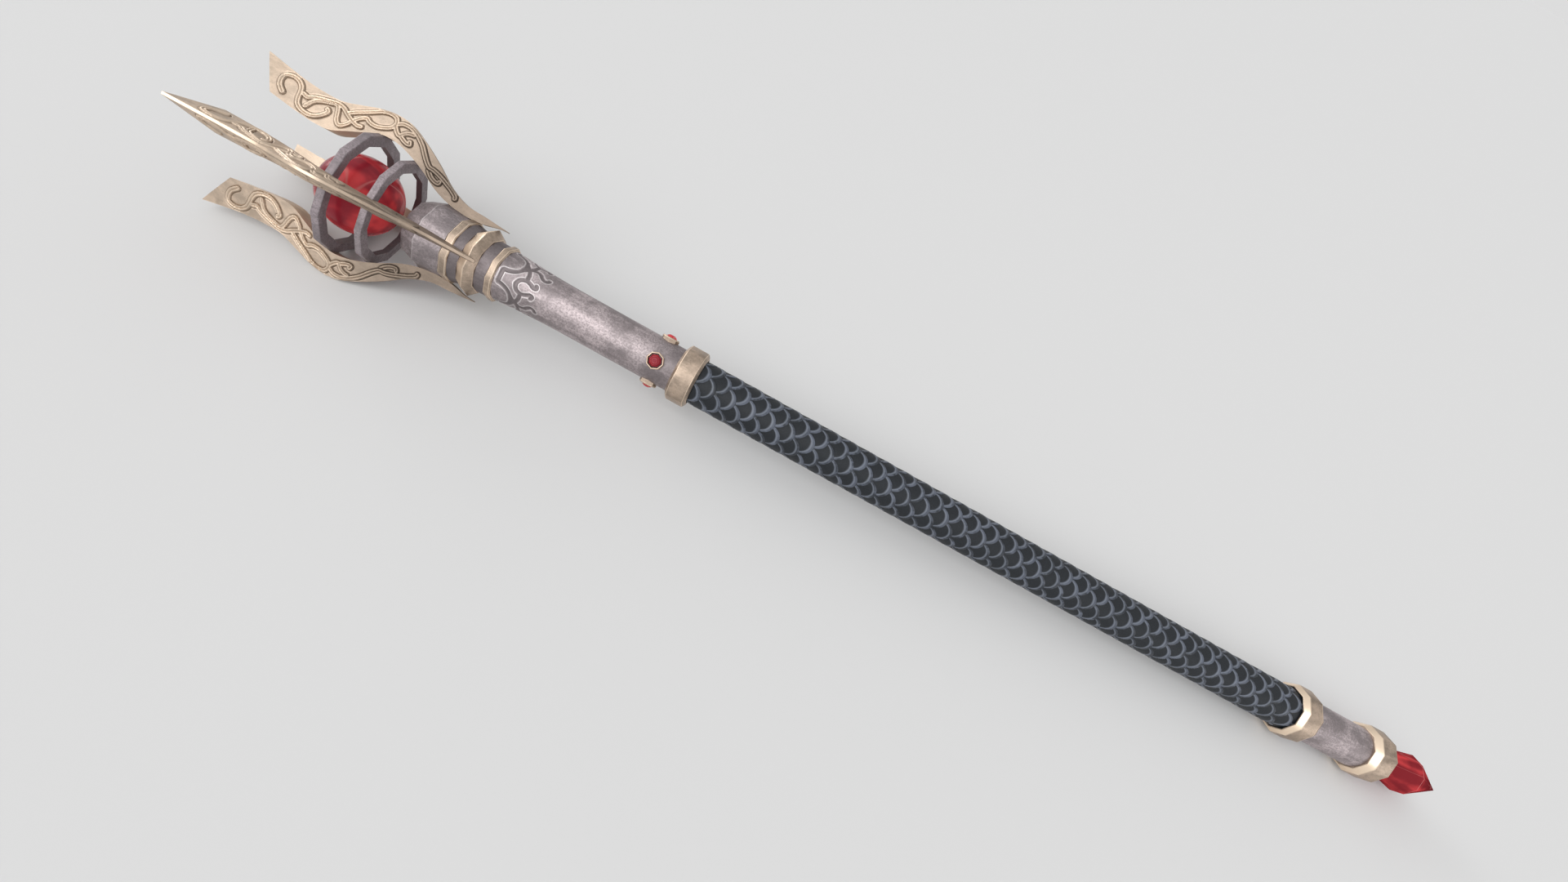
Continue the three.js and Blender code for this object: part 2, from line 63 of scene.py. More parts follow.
UPPER_COLLAR = (-7.8, 7.8)
LOWER_COLLAR = (484.4, 501.3)
LOWER_JOINT = (LOWER_COLLAR[0] + LOWER_COLLAR[1]) / 2
POMMEL_COLLAR = (546.9, 563.0)
CRYSTAL_GIRDLE = 591.9
CRYSTAL_POINT = 621.7
NECK_RING = (-137.8, -133.1)
BELL = (-156.2, -145.0)
BELL_CREST = -149.8
SOCKET_RING = (-167.7, -161.9)
SOCKET_FRONT = -194.9
SOCKET_SHOULDER = -184.2
ORB_CENTRE = -236.4
ORB_RADIUS = 25.0
BLADE_TIP = -321.6
BLADE_LENGTH = 177.6
STUD_PLACE = -21.0
TUBE_RADIUS = 15.3
GRIP_RADIUS = 15.0
FLARE_LENGTH = 50.0
FLARE_RADIUS = 17.3
SLEEVE_LENGTH = 132.9
SCROLLED_LENGTH = 42
FERRULE_RADIUS = 15.1
FERRULE_END = POMMEL_COLLAR[1] - 4.3
CRYSTAL_ROOT = POMMEL_COLLAR[1] - 3.2
CRYSTAL_ROOT_RADIUS = 8.5
CRYSTAL_RADIUS = 15.3
STEM_RADIUS = 1.6
STEM_END = ORB_CENTRE + ORB_RADIUS + 0.2
GRIP_ENDS = (0.3, LOWER_JOINT - 0.3)

COLLAR_RADIUS = 19.9
COLLAR_FOOT = 17.4
UPPER_CHAMFER = 1.8
LOWER_CHAMFER = 3.3
POMMEL_CHAMFER = 4.5
RING_BORE = 17.3
GRIP_COLLAR_BORE = 16.4
POMMEL_COLLAR_BORE = 8.9
# The bed of a ring on the sleeve, and how far inside the ring's ends it starts and stops
BED_RADIUS = 16.4
LAP = 0.2

# Turned pieces: name, material, radius of the bore and a profile of (place, radius)
TURNED = (
    ("socket", "steel", None, (
        (STEM_END, 0), (STEM_END, STEM_RADIUS), (SOCKET_FRONT, STEM_RADIUS), (SOCKET_FRONT, 18.95),
        (SOCKET_SHOULDER, 23.1), (SOCKET_RING[0], 21.3), (SOCKET_RING[0], 0),
    )),
    ("socket_ring", "brass", RING_BORE, (
        (SOCKET_RING[0] + LAP, 21.6), (SOCKET_RING[0] + 0.9, 22.2), (SOCKET_RING[1] - 0.7, 22.2),
        (SOCKET_RING[1], 21.7),
    )),
    ("bell_collar", "brass", RING_BORE, (
        (BELL[0], 19.6), (BELL_CREST - 1.0, 23.2), (BELL_CREST, 23.8), (BELL[1], 19.2),
    )),
    ("neck_ring", "brass", RING_BORE, (
        (NECK_RING[0], 18.9), (NECK_RING[0] + 0.5, 19.3), (NECK_RING[1] - 0.9, 19.3),
        (NECK_RING[1], 18.4),
    )),
    ("upper_grip_collar", "brass", GRIP_COLLAR_BORE, (
        (UPPER_COLLAR[0], COLLAR_FOOT), (UPPER_COLLAR[0] + UPPER_CHAMFER, COLLAR_RADIUS),
        (UPPER_COLLAR[1] - UPPER_CHAMFER, COLLAR_RADIUS), (UPPER_COLLAR[1], COLLAR_FOOT),
    )),
    ("lower_grip_collar", "brass", GRIP_COLLAR_BORE, (
        (LOWER_COLLAR[0], COLLAR_FOOT), (LOWER_COLLAR[0] + LOWER_CHAMFER, COLLAR_RADIUS),
        (LOWER_COLLAR[1] - LOWER_CHAMFER, COLLAR_RADIUS), (LOWER_COLLAR[1], COLLAR_FOOT),
    )),
    ("pommel_collar", "brass", POMMEL_COLLAR_BORE, (
        (POMMEL_COLLAR[0], 16.8), (POMMEL_COLLAR[0] + POMMEL_CHAMFER, 19.5),
        (POMMEL_COLLAR[1], 19.5),
    )),
)
# How light the painted highlights are on the slopes that face the head
FRONT_GLINTS = {"bell_collar": 0.9, "lower_grip_collar": 1.0, "pommel_collar": 1.0}

# The front end of the sleeve, as (place, radius), with a bed under each ring
SLEEVE_HEAD = (
    (SOCKET_RING[0] + LAP, BED_RADIUS), (SOCKET_RING[1] - LAP, BED_RADIUS), (SOCKET_RING[1], 20.4),
    (BELL[0], 19.1), (BELL[0] + LAP, BED_RADIUS), (BELL[1] - LAP, BED_RADIUS), (BELL[1], 18.0),
    (NECK_RING[0], 18.0), (NECK_RING[0] + LAP, BED_RADIUS), (NECK_RING[1] - LAP, BED_RADIUS),
)

# Hoops: name, outer radius, depth and width of the band, place of the middle
HOOP_SIDES = 12
HOOPS = (
    ("large_hoop", 41.3, 7.2, 4.8, -238.1),
    ("small_hoop", 36.2, 6.9, 4.2, -214.1),
)

# Studs, as (height over the staff's axis, radius), and how far edges are rounded
STUD_SIDES = 8
BEZEL_ROUND = 0.12
STONE_ROUND = 0.07
CRYSTAL_ROUND = 0.15
BEZEL = ((13.6, 5.9), (16.9, 6.0), (17.5, 5.6), (17.5, 5.2), (16.5, 4.75), (13.6, 4.75))
STONE = ((15.8, 0), (15.8, 4.2), (16.9, 4.2), (18.5, 2.9), (19.1, 1.8), (19.1, 0))

# A scale's edge is an arc up to this share of its half width, and half a pitch deep
SCALE_ARC = 0.97
SCALE_BEND = 1 - math.sqrt(1 - SCALE_ARC**2)

# Blades: height of the ridge and of the inner edge over the axis and width at the inner edge,
# as (distance from the tip, millimetres)
RIDGE_LINE = (
    (0, 51.2), (14, 48.6), (28, 46.5), (39, 45.8), (52, 46.4), (63.5, 50.2), (74, 54.0), (85, 56.0),
    (96, 54.8), (107, 49.8), (121, 41.6), (134.5, 32.4), (147, 27.6), (161, 26.6), (177.6, 25.3),
)
INNER_LINE = (
    (0, 31.0), (15.3, 29.3), (33, 26.9), (47, 25.8), (54, 26.4), (66, 31.8), (76.3, 36.8),
    (85, 40.2), (95, 40.0), (105, 37.0), (115.5, 32.2), (125.5, 26.6), (135.5, 23.0),
    (148, 21.0), (160, 21.6), (172, 24.4), (177.6, 24.8),
)
WIDTH_LINE = (
    (0, 15.2), (15, 14.8), (32, 14.3), (53, 12.6), (84, 10.5), (107, 8.0), (130, 6.7), (154, 4.8),
    (177.6, 2.25),
)
RIDGE_WIDTH = 1.7
TIP_CUT = 15.3
# Distances from the tip over which a blade darkens, and over which its knots fade out
TARNISHED = (70, 128)
KNOTS_FADE = (140, 150)

# Rows of points along a fin, up each side, and across its inner edge and its ridge
FIN_ROWS = 560
SIDE_ROWS = 58
BASE_ROWS = 6
RIDGE_ROWS = 2

# Rows of points along the scrolled and the plain stretch of the sleeve and along the grip, and
# the points in one row round them and round the ferrule
SCROLL_STEP = 0.35
PLAIN_ROWS = 40
GRIP_ROWS = 780
SLEEVE_POINTS = 288
GRIP_POINTS = 108
FERRULE_POINTS = 96
FERRULE_SPLIT = LOWER_COLLAR[1] + 20

# Knotwork: the step between a strand's points, and the strands on a blade's side, as (distance
# from the tip, share of the height)
STRAND_STEP = 0.3
KNOT_STRANDS = (
    ((20.7, 0.25), (17, 0.39), (15.5, 0.57), (16.2, 0.75), (20, 0.86), (24, 0.86), (27.4, 0.75),
     (29, 0.57), (30, 0.39), (32, 0.22), (36, 0.13), (41, 0.14), (45, 0.25), (48, 0.42),
     (48.6, 0.52), (47.4, 0.58)),
    ((31, 0.6), (34, 0.58), (37.5, 0.7), (43.5, 0.81), (50, 0.88), (55, 0.8), (59.5, 0.6),
     (64, 0.4), (68, 0.25), (71, 0.2)),
    ((36, 0.3), (38, 0.55), (41.5, 0.7), (46.5, 0.8), (50.5, 0.83), (52.7, 0.7), (54.5, 0.48),
     (56.5, 0.3), (59.2, 0.2), (62.5, 0.27), (63.6, 0.36)),
    ((59.5, 0.66), (64, 0.73), (69, 0.78), (73, 0.84), (76.5, 0.91), (81, 0.93), (85.5, 0.87),
     (87.5, 0.72), (88.2, 0.55), (90.5, 0.38), (93, 0.3), (94.2, 0.42), (96, 0.58), (98.5, 0.7),
     (100, 0.75)),
    ((65, 0.42), (68, 0.53), (71, 0.54), (73.5, 0.42), (77, 0.32), (80.5, 0.28), (84.5, 0.33),
     (87, 0.45), (87.7, 0.6)),
    ((89, 0.68), (91.5, 0.8), (97, 0.88), (102, 0.87), (107, 0.77), (110.5, 0.62), (114, 0.48),
     (117, 0.43), (120, 0.55), (124.5, 0.68), (129, 0.78), (134, 0.85), (138, 0.78), (139, 0.6)),
    ((94.5, 0.3), (98, 0.25), (100.5, 0.3), (100, 0.4)),
    ((117, 0.41), (118, 0.3), (121, 0.23), (124, 0.27), (126, 0.36), (126.3, 0.5)),
)

# Scrolls on the sleeve: lines as (distance from the neck ring, degrees round from a blade)
SCROLL_LINES = (
    ((3.0, 0), (3.0, 7), (3.0, 14.4), (6, 17), (9.5, 22), (12.1, 31), (13.2, 45)),
    ((13.4, 0), (14.2, 8), (15.8, 14), (18.6, 17), (21.4, 14.5), (24, 9.8), (25.8, 11),
     (25.2, 16.5)),
    ((18.4, 17), (18.2, 25), (17.8, 33), (15.9, 45)),
    ((15.9, 45), (13.6, 37), (12.1, 31)),
)

# The hook between two blades, which turns the other way in the next gap
HOOK_LINE = (
    (16.5, 47), (19.5, 52), (22.5, 50.5), (24.5, 44), (26.5, 39.5), (28.8, 40.5), (29.8, 45),
)

# The sleeve's usual radius where it is scrolled, the raised lips of the scrolls, and a distance
# that counts as far from any scroll
SCROLL_RADIUS = 16.6
LIP_WIDTH = 0.26
LIP_HEIGHT = 0.1
FAR = 9.0

# Where the sleeve darkens toward the studs, and where its darkening fades behind the neck ring
STUD_DARKENING = (STUD_PLACE - 26, STUD_PLACE + 14)
NECK_DARKENING = (NECK_RING[1] + 2, NECK_RING[1] + 12)

# Lights: name, where each one comes from, and its width in degrees
SUNS = (
    ("key", (-0.5, -0.72, 0.8), 50),
    ("side", (0.7, -0.65, 0.3), 36),
    ("head", (-0.95, 0.5, 0.2), 32),
)
# How high the haze reaches up the sky, as a share of straight up
HAZE_TOP = 0.16


def lie_down():
    """The turn and place that carry the staff's own axis to where the solids lie."""
    low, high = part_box("orb")
    orb_middle = (low + high) / 2
    tip = max((v.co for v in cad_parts["pommel_crystal"].data.vertices), key=lambda c: c.x)
    along = (tip - orb_middle).normalized()
    turned = Matrix.Rotation(math.atan2(-along.z, along.x), 4, "Y")
    start = orb_middle - turned @ Vector((ORB_CENTRE * MM, 0, 0))
    return Matrix.Translation(start) @ turned


LIE = lie_down()


def line_at(points, x):
    """A smooth line through (x, y) points, read at one or many x."""
    xs = np.array([p[0] for p in points], float)
    ys = np.array([p[1] for p in points], float)
    slopes = np.gradient(ys, xs)
    x = np.clip(np.asarray(x, float), xs[0], xs[-1])
    i = np.clip(np.searchsorted(xs, x) - 1, 0, len(xs) - 2)
    span = xs[i + 1] - xs[i]
    t = (x - xs[i]) / span
    a = (2 * t**3 - 3 * t**2 + 1) * ys[i] + (t**3 - 2 * t**2 + t) * span * slopes[i]
    return a + (3 * t**2 - 2 * t**3) * ys[i + 1] + (t**3 - t**2) * span * slopes[i + 1]


def smooth_path(points, step):
    """Points about a step apart on a smooth curve through the given ones."""
    p = np.array(points, float)
    p = np.vstack([2 * p[0] - p[1], p, 2 * p[-1] - p[-2]])
    out = []
    for k in range(1, len(p) - 2):
        count = max(2, int(np.linalg.norm(p[k + 1] - p[k]) / step))
        t = np.linspace(0, 1, count, endpoint=False)[:, None]
        out.append(0.5 * (
            2 * p[k] + (p[k + 1] - p[k - 1]) * t
            + (2 * p[k - 1] - 5 * p[k] + 4 * p[k + 1] - p[k + 2]) * t**2
            + (3 * p[k] - p[k - 1] - 3 * p[k + 1] + p[k + 2]) * t**3
        ))
    out.append(p[-2][None, :])
    return np.vstack(out)


def gap_to(path, points, batch=4000):
    """For each point, its distance to the nearest point of a path."""
    gap = np.empty(len(points))
    for start in range(0, len(points), batch):
        part = points[start:start + batch]
        squares = ((part[:, None, :] - path[None, :, :]) ** 2).sum(axis=2)
        gap[start:start + batch] = np.sqrt(squares.min(axis=1))
    return gap


def ease(x, low, high):
    """0 below low, 1 above high and smooth between them."""
    t = np.clip((x - low) / (high - low), 0, 1)
    return t * t * (3 - 2 * t)


# Materials


made_finishes = {}


class Tree:
    """A node tree, with short calls that add nodes and link them."""

    def __init__(self, tree):
        self.nodes = tree.nodes
        self.links = tree.links

    def put(self, socket, value):
        if isinstance(value, bpy.types.NodeSocket):
            self.links.new(value, socket)
        else:
            socket.default_value = value

    def add(self, kind, inputs=None, **settings):
        node = self.nodes.new(kind)
        for key, value in settings.items():
            setattr(node, key, value)
        for key, value in (inputs or {}).items():
            self.put(node.inputs[key], value)
        return node

    def math(self, operation, a, b=0.0):
        return self.add("ShaderNodeMath", {0: a, 1: b}, operation=operation).outputs[0]

    def weighted(self, a, weight_a, b, weight_b):
        """The sum of two values, each times its weight."""
        first = self.math("MULTIPLY", a, weight_a)
        return self.math("ADD", first, self.math("MULTIPLY", b, weight_b))

    def spread(self, value, low, high, out_low=0.0, out_high=1.0, way="SMOOTHSTEP"):
        """value from low to high becomes out_low to out_high, smoothly unless told otherwise."""
        inputs = {"Value": value, "From Min": low, "From Max": high}
        inputs.update({"To Min": out_low, "To Max": out_high})
        return self.add("ShaderNodeMapRange", inputs, interpolation_type=way).outputs["Result"]


class Finish(Tree):
    """A node material with one principled shader."""

    def __init__(self, name, **values):
        self.material = bpy.data.materials.new(name)
        self.material.use_nodes = True
        super().__init__(self.material.node_tree)
        self.shader = self.nodes["Principled BSDF"]
        for key, value in values.items():
            self.set(key.replace("_", " "), value)

    def set(self, name, value):
        self.put(self.shader.inputs[name], value)

    def mix(self, factor, a, b):
        """The colour from a to b: sockets 6 and 7 and output 2 are the ones for colours."""
        node = self.add("ShaderNodeMix", {0: factor, 6: a, 7: b}, data_type="RGBA")
        return node.outputs[2]

    def place(self, scale=(1, 1, 1)):
        """Places on the piece, stretched along the staff where the first scale is small."""
        coords = self.add("ShaderNodeTexCoord").outputs["Object"]
        return self.add("ShaderNodeMapping", {"Vector": coords, "Scale": scale}).outputs[0]

    def noise(self, place, scale, detail=4.0, roughness=0.55):
        inputs = {"Vector": place, "Scale": scale, "Detail": detail, "Roughness": roughness}
        return self.add("ShaderNodeTexNoise", inputs).outputs["Fac"]

    def attribute(self, name):
        return self.add("ShaderNodeAttribute", attribute_name=name).outputs["Fac"]

    def bump(self, height, strength, distance):
        inputs = {"Height": height, "Strength": strength, "Distance": distance}
        self.set("Normal", self.add("ShaderNodeBump", inputs).outputs["Normal"])


def shade(color, factor):
    """A colour made lighter or darker, ready for a shader's socket."""
    return tuple(min(1.0, c * factor) for c in color[:3]) + (1.0,)


def make_brass(colors):
    """Pale brass in soft patches, with fine strokes and dark specks, darkened where marked as
    patina and as painted shade, and lightened where marked as wear and as painted highlights.
    """
    finish = Finish("worn_brass", Metallic=1.0)
    even = finish.place()
    patches = finish.noise(even, 75, 5, 0.65)
    strokes = finish.noise(finish.place((0.25, 1.0, 1.0)), 320, 4, 0.65)
    specks = finish.noise(even, 850, 3, 0.7)
    base = finish.mix(
        finish.spread(patches, 0.36, 0.66), shade(colors.brass, 0.72), shade(colors.brass, 1.18),
    )
    base = finish.mix(finish.spread(strokes, 0.45, 0.72, 0, 0.45), base, shade(colors.brass, 1.5))
    base = finish.mix(finish.spread(specks, 0.52, 0.68, 0, 0.45), base, shade(colors.brass, 0.5))
    hollow = finish.attribute("hollow")
    base = finish.mix(hollow, base, shade(colors.brass_patina_and_shade, 1))
    worn = finish.attribute("worn")
    base = finish.mix(worn, base, shade(colors.brass_wear_and_glint, 1))
    finish.set("Base Color", base)
    rough = finish.spread(patches, 0.3, 0.7, 0.4, 0.55)
    rough = finish.math("ADD", rough, finish.math("MULTIPLY", hollow, 0.2))
    finish.set("Roughness", finish.math("SUBTRACT", rough, finish.math("MULTIPLY", worn, 0.08)))
    height = finish.math("ADD", patches, finish.math("MULTIPLY", specks, 0.2))
    finish.bump(height, 0.35, 0.0006)
    return finish.material


def make_steel(name, color, worn, contrast, metallic):
    """Clouded steel with strokes along the staff and fine grain, darkened where marked as patina
    and as painted shade, and lightened where marked as painted highlights.
    """
    finish = Finish(f"brushed_{name}", Metallic=metallic)
    even = finish.place()
    clouds = finish.noise(even, 48, 6, 0.7)
    bands = finish.noise(finish.place((0.1, 1.0, 1.0)), 170, 4, 0.6)
    clouds = finish.weighted(clouds, 0.72, bands, 0.28)
    strokes = finish.noise(finish.place((0.08, 1.0, 1.0)), 420, 4, 0.7)
    grain = finish.noise(even, 820, 3, 0.7)
    low = shade(color, 1 - contrast)
    high = shade(color, 1 + contrast)
    base = finish.mix(finish.spread(clouds, 0.42, 0.59), low, high)
    base = finish.mix(finish.spread(strokes, 0.46, 0.66, 0, 0.38), base, shade(color, 0.55))
    base = finish.mix(finish.spread(grain, 0.42, 0.62, 0, 0.6), base, shade(color, 0.5))
    base = finish.mix(finish.attribute("hollow"), base, shade(color, 0.36))
    edge = finish.attribute("worn")
    base = finish.mix(edge, base, shade(worn, 1))
    finish.set("Base Color", base)
    rough = finish.spread(clouds, 0.3, 0.7, 0.49, 0.6)
    finish.set("Roughness", finish.math("SUBTRACT", rough, finish.math("MULTIPLY", edge, 0.12)))
    height = finish.math("ADD", finish.math("MULTIPLY", strokes, 0.5), grain)
    finish.bump(height, 0.25, 0.0004)
    return finish.material


def make_leather(colors):
    """Dark scales with a paler border, placed by the map that counts scales round and along."""
    finish = Finish("scaled_leather", Specular_IOR_Level=0.4)
    coords = finish.add("ShaderNodeUVMap", uv_map="scales").outputs["UV"]
    split = finish.add("ShaderNodeSeparateXYZ", {0: coords})
    across = finish.math("MULTIPLY", finish.math("PINGPONG", split.outputs[0], 0.5), 2.0)
    along = split.outputs[1]

    def to_edge(side, shift):
        """How far ahead the edge of a column's next scale lies, in pitches."""
        inside = finish.math("MULTIPLY", side, SCALE_ARC)
        round_part = finish.math("SUBTRACT", 1.0, finish.math("MULTIPLY", inside, inside))
        drop = finish.math("SUBTRACT", 1.0, finish.math("SQRT", round_part))
        drop = finish.math("MULTIPLY", drop, 0.5 / SCALE_BEND)
        ahead = finish.math("ADD", finish.math("ADD", along, drop), shift)
        return finish.math("SUBTRACT", 1.0, finish.math("FRACT", ahead))

    other = finish.math("SUBTRACT", 1.0, across)
    ahead_here = to_edge(across, 0.0)
    ahead_next = to_edge(other, 0.5)
    nearer = finish.math("LESS_THAN", ahead_here, ahead_next)
    side = finish.add("ShaderNodeMix", {0: nearer, 2: other, 3: across}).outputs[0]
    ahead = finish.math("MINIMUM", ahead_here, ahead_next)
    steep = finish.math("SQRT", finish.math("SUBTRACT", 1.0, finish.math("POWER", side, 4.0)))
    rim = finish.math("MULTIPLY", ahead, finish.math("MAXIMUM", steep, 0.3))

    even = finish.place()
    grain = finish.noise(even, 1400, 4, 0.6)
    clouds = finish.noise(even, 60, 4, 0.6)
    wobble = finish.math("MULTIPLY", finish.math("SUBTRACT", clouds, 0.5), 0.06)
    rim = finish.math("ADD", rim, wobble)
    border = finish.spread(rim, 0.16, 0.27, 1, 0)
    line_start = finish.spread(rim, 0.1, 0.16)
    line = finish.math("MULTIPLY", line_start, finish.spread(rim, 0.17, 0.24, 1, 0))
    under = finish.spread(rim, 0.0, 0.03, 1, 0)
    dark, pale = colors.leather, colors.leather_edge
    core = finish.mix(finish.spread(grain, 0.35, 0.7), shade(dark, 0.7), shade(dark, 1.3))
    edge = finish.mix(finish.spread(clouds, 0.35, 0.65), shade(pale, 0.75), shade(pale, 1.1))
    worn_off = finish.spread(finish.noise(even, 80, 5, 0.7), 0.42, 0.57, 0.2, 1)
    base = finish.mix(finish.math("MULTIPLY", border, worn_off), core, edge)
    base = finish.mix(finish.math("MULTIPLY", line, 0.6), base, shade(colors.leather_line, 1))
    base = finish.mix(finish.math("MULTIPLY", under, 0.8), base, shade(dark, 0.3))
    finish.set("Base Color", base)
    finish.set("Roughness", finish.spread(border, 0, 1, 0.55, 0.4))
    height = finish.math("ADD", finish.math("MULTIPLY", grain, 0.25), border)
    finish.bump(height, 0.4, 0.0004)
    return finish.material


def make_glass(name, color, deep, vein_and_sheen, gloss, clear, drawn, streaked):
    """Clouded red glass with pale veins, drawn out by the scale drawn, that partly stand in for
    painted streaks of reflected light, and pale edges that are painted highlights.
    """
    finish = Finish(
        f"deep_{name}", Roughness=0.2, IOR=1.3, Specular_IOR_Level=gloss, Transmission_Weight=clear,
    )
    clouds = finish.noise(finish.place(), 50, 3, 0.5)
    bands = finish.noise(finish.place((0.12, 1.0, 1.0)), 95, 2, 0.5)
    depth = finish.weighted(clouds, 0.5, bands, 0.5)
    base = finish.mix(finish.spread(depth, 0.42, 0.6), shade(deep, 1), shade(color, 1))
    streaks = finish.noise(finish.place(drawn), 42, 1, 0.4)
    off_streak = finish.math("ABSOLUTE", finish.math("SUBTRACT", streaks, 0.52))
    base = finish.mix(finish.spread(off_streak, 0.0, 0.014, streaked, 0), base, shade(vein_and_sheen, 1))
    # Painted highlights on the rounded edges, in the streaks' colour
    base = finish.mix(finish.math("MULTIPLY", finish.attribute("worn"), 0.6), base, shade(vein_and_sheen, 1))
    finish.set("Base Color", base)
    return finish.material


def make_finish(name, colors):
    """A new finish by name."""
    if name == "brass":
        return make_brass(colors)
    if name == "steel":
        return make_steel(name, colors.steel, colors.steel_wear_and_glint, contrast=0.3, metallic=1.0)
    if name == "dark_steel":
        return make_steel(name, colors.dark_steel, colors.steel, contrast=0.2, metallic=0.5)
    if name == "leather":
        return make_leather(colors)
    if name == "red_glass":
        return make_glass(
            name, colors.red_glass, colors.red_deep, colors.red_vein_and_sheen, gloss=0.25, clear=0.35,
            drawn=(1.0, 0.45, 0.45), streaked=0.55,
        )
    return make_glass(
        name, colors.crystal, colors.crystal_deep, colors.red_vein_and_sheen, gloss=0.0, clear=0.0,
        drawn=(0.12, 2.2, 2.2), streaked=0.22,
    )


def cast_finish(name):
    """A finish by name, made when it is first asked for."""
    if name not in made_finishes:
        made_finishes[name] = make_finish(name, bpy.context.scene.sceptre_colors)
    return made_finishes[name]


# Making pieces


def keep(name, mesh, material, replaced, corner_angle=40, even=True):
    """Puts a finished mesh in the scene in place of its solids.

    Edges sharper than corner_angle stay hard, and even weights the shading by face size.
    """
    mesh.name = name
    piece = bpy.data.objects.new(name, mesh)
    bpy.context.scene.collection.objects.link(piece)
    mesh.materials.clear()
    mesh.materials.append(cast_finish(material))
    for attribute in ("hollow", "worn"):
        if attribute not in mesh.attributes:
            mesh.attributes.new(attribute, "FLOAT", "POINT")
    mesh.polygons.foreach_set("use_smooth", [True] * len(mesh.polygons))
    mesh.set_sharp_from_angle(angle=math.radians(corner_angle))
    if even:
        shading = piece.modifiers.new("even_shading", "WEIGHTED_NORMAL")
        shading.keep_sharp = True
    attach(piece, "root")
    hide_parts(*replaced)


def close_up(bm):
    """Merges doubles, fills what is open and points all faces outward."""
    bmesh.ops.remove_doubles(bm, verts=bm.verts, dist=1e-6)
    open_edges = [e for e in bm.edges if e.is_boundary]
    if open_edges:
        bmesh.ops.holes_fill(bm, edges=open_edges)
    bmesh.ops.recalc_face_normals(bm, faces=bm.faces)


def to_mesh(bm, name, matrix=None):
    mesh = bpy.data.meshes.new(name)
    if matrix is not None:
        bmesh.ops.transform(bm, matrix=matrix, verts=bm.verts)
    bm.to_mesh(mesh)
    bm.free()
    return mesh


def spun(profile, sides, closed=False):
    """A profile of (x, radius) points in millimetres spun round the staff's axis."""
    bm = bmesh.new()
    verts = [bm.verts.new((x * MM, 0, r * MM)) for x, r in profile]
    edges = [bm.edges.new(pair) for pair in zip(verts, verts[1:])]
    if closed:
        edges.append(bm.edges.new((verts[-1], verts[0])))
    bmesh.ops.spin(
        bm, geom=verts + edges, cent=(0, 0, 0), axis=(1, 0, 0), dvec=(0, 0, 0),
        angle=2 * math.pi, steps=sides, use_merge=True,
    )
    close_up(bm)
    return bm


def soften(bm, width, corner=20, segments=2, glint=1.0):
    """Bevels the sharp edges that run round a spun shape and paints the new faces lighter by glint,
    as painted highlights along the edges.
    """
    worn = bm.faces.layers.float.get("worn") or bm.faces.layers.float.new("worn")
    sharp = [
        e for e in bm.edges
        if e.is_manifold and abs(e.verts[0].co.x - e.verts[1].co.x) < 1e-7
        and e.calc_face_angle(0) > math.radians(corner)
    ]
    made = bmesh.ops.bevel(
        bm, geom=sharp, offset=width * MM, offset_type="OFFSET", segments=segments,
        profile=0.5, affect="EDGES", material=-1, clamp_overlap=True,
    )
    for face in made["faces"]:
        face[worn] = glint


def looks_in(face):
    """True for a face of a spun shape that looks at the shape's own axis."""
    middle = face.calc_center_median().yz
    return face.normal.yz.dot(middle) < -0.5 * middle.length


def mark(bm, layer, amount, chosen):
    """Gives the faces for which chosen is true an amount of a mark: wear, patina, painted highlight
    or painted shade.
    """
    values = bm.faces.layers.float.get(layer) or bm.faces.layers.float.new(layer)
    for face in bm.faces:
        if chosen(face):
            face[values] = amount


def wrapped_grid(along, around, place, name):
    """A fine closed tube of along rows and around columns.

    place takes row and column numbers, and gives points in millimetres, a value for each point
    by the name of its attribute, and the points of a map or None.
    """
    bm = bmesh.new()
    bmesh.ops.create_grid(bm, x_segments=along, y_segments=around, size=1)
    mesh = to_mesh(bm, name)
    co = np.empty(len(mesh.vertices) * 3)
    mesh.vertices.foreach_get("co", co)
    co = co.reshape(-1, 3)
    row = np.rint((co[:, 0] + 1) / 2 * along).astype(int)
    column = np.rint((co[:, 1] + 1) / 2 * around).astype(int)
    points, values, uv = place(row, column)
    mesh.vertices.foreach_set("co", (points * MM).ravel())
    for key, value in values.items():
        layer = mesh.attributes.new(key, "FLOAT", "POINT")
        layer.data.foreach_set("value", np.asarray(value, float))
    if uv is not None:
        loops = np.empty(len(mesh.loops), int)
        mesh.loops.foreach_get("vertex_index", loops)
        layer = mesh.uv_layers.new(name="scales")
        layer.data.foreach_set("uv", uv[loops].ravel())
    bm = bmesh.new()
    bm.from_mesh(mesh)
    close_up(bm)
    bm.to_mesh(mesh)
    bm.free()
    return mesh


def round_points(x, radius, turn, side=0.0):
    """Points at a radius and turn round the axis, moved sideways by side, as rows of x, y, z."""
    y = -np.sin(turn) * radius - np.cos(turn) * side
    z = np.cos(turn) * radius - np.sin(turn) * side
    return np.stack([x + 0 * y, y, z], axis=1)


# Blades


def blade_place(distance, share):
    """Radius and sideways place of points on a blade's side."""
    ridge = line_at(RIDGE_LINE, distance)
    inner = line_at(INNER_LINE, distance)
    half = line_at(WIDTH_LINE, distance) / 2
    radius = inner + (ridge - inner) * share
    lateral = half + (RIDGE_WIDTH / 2 - half) * share
    return radius, lateral


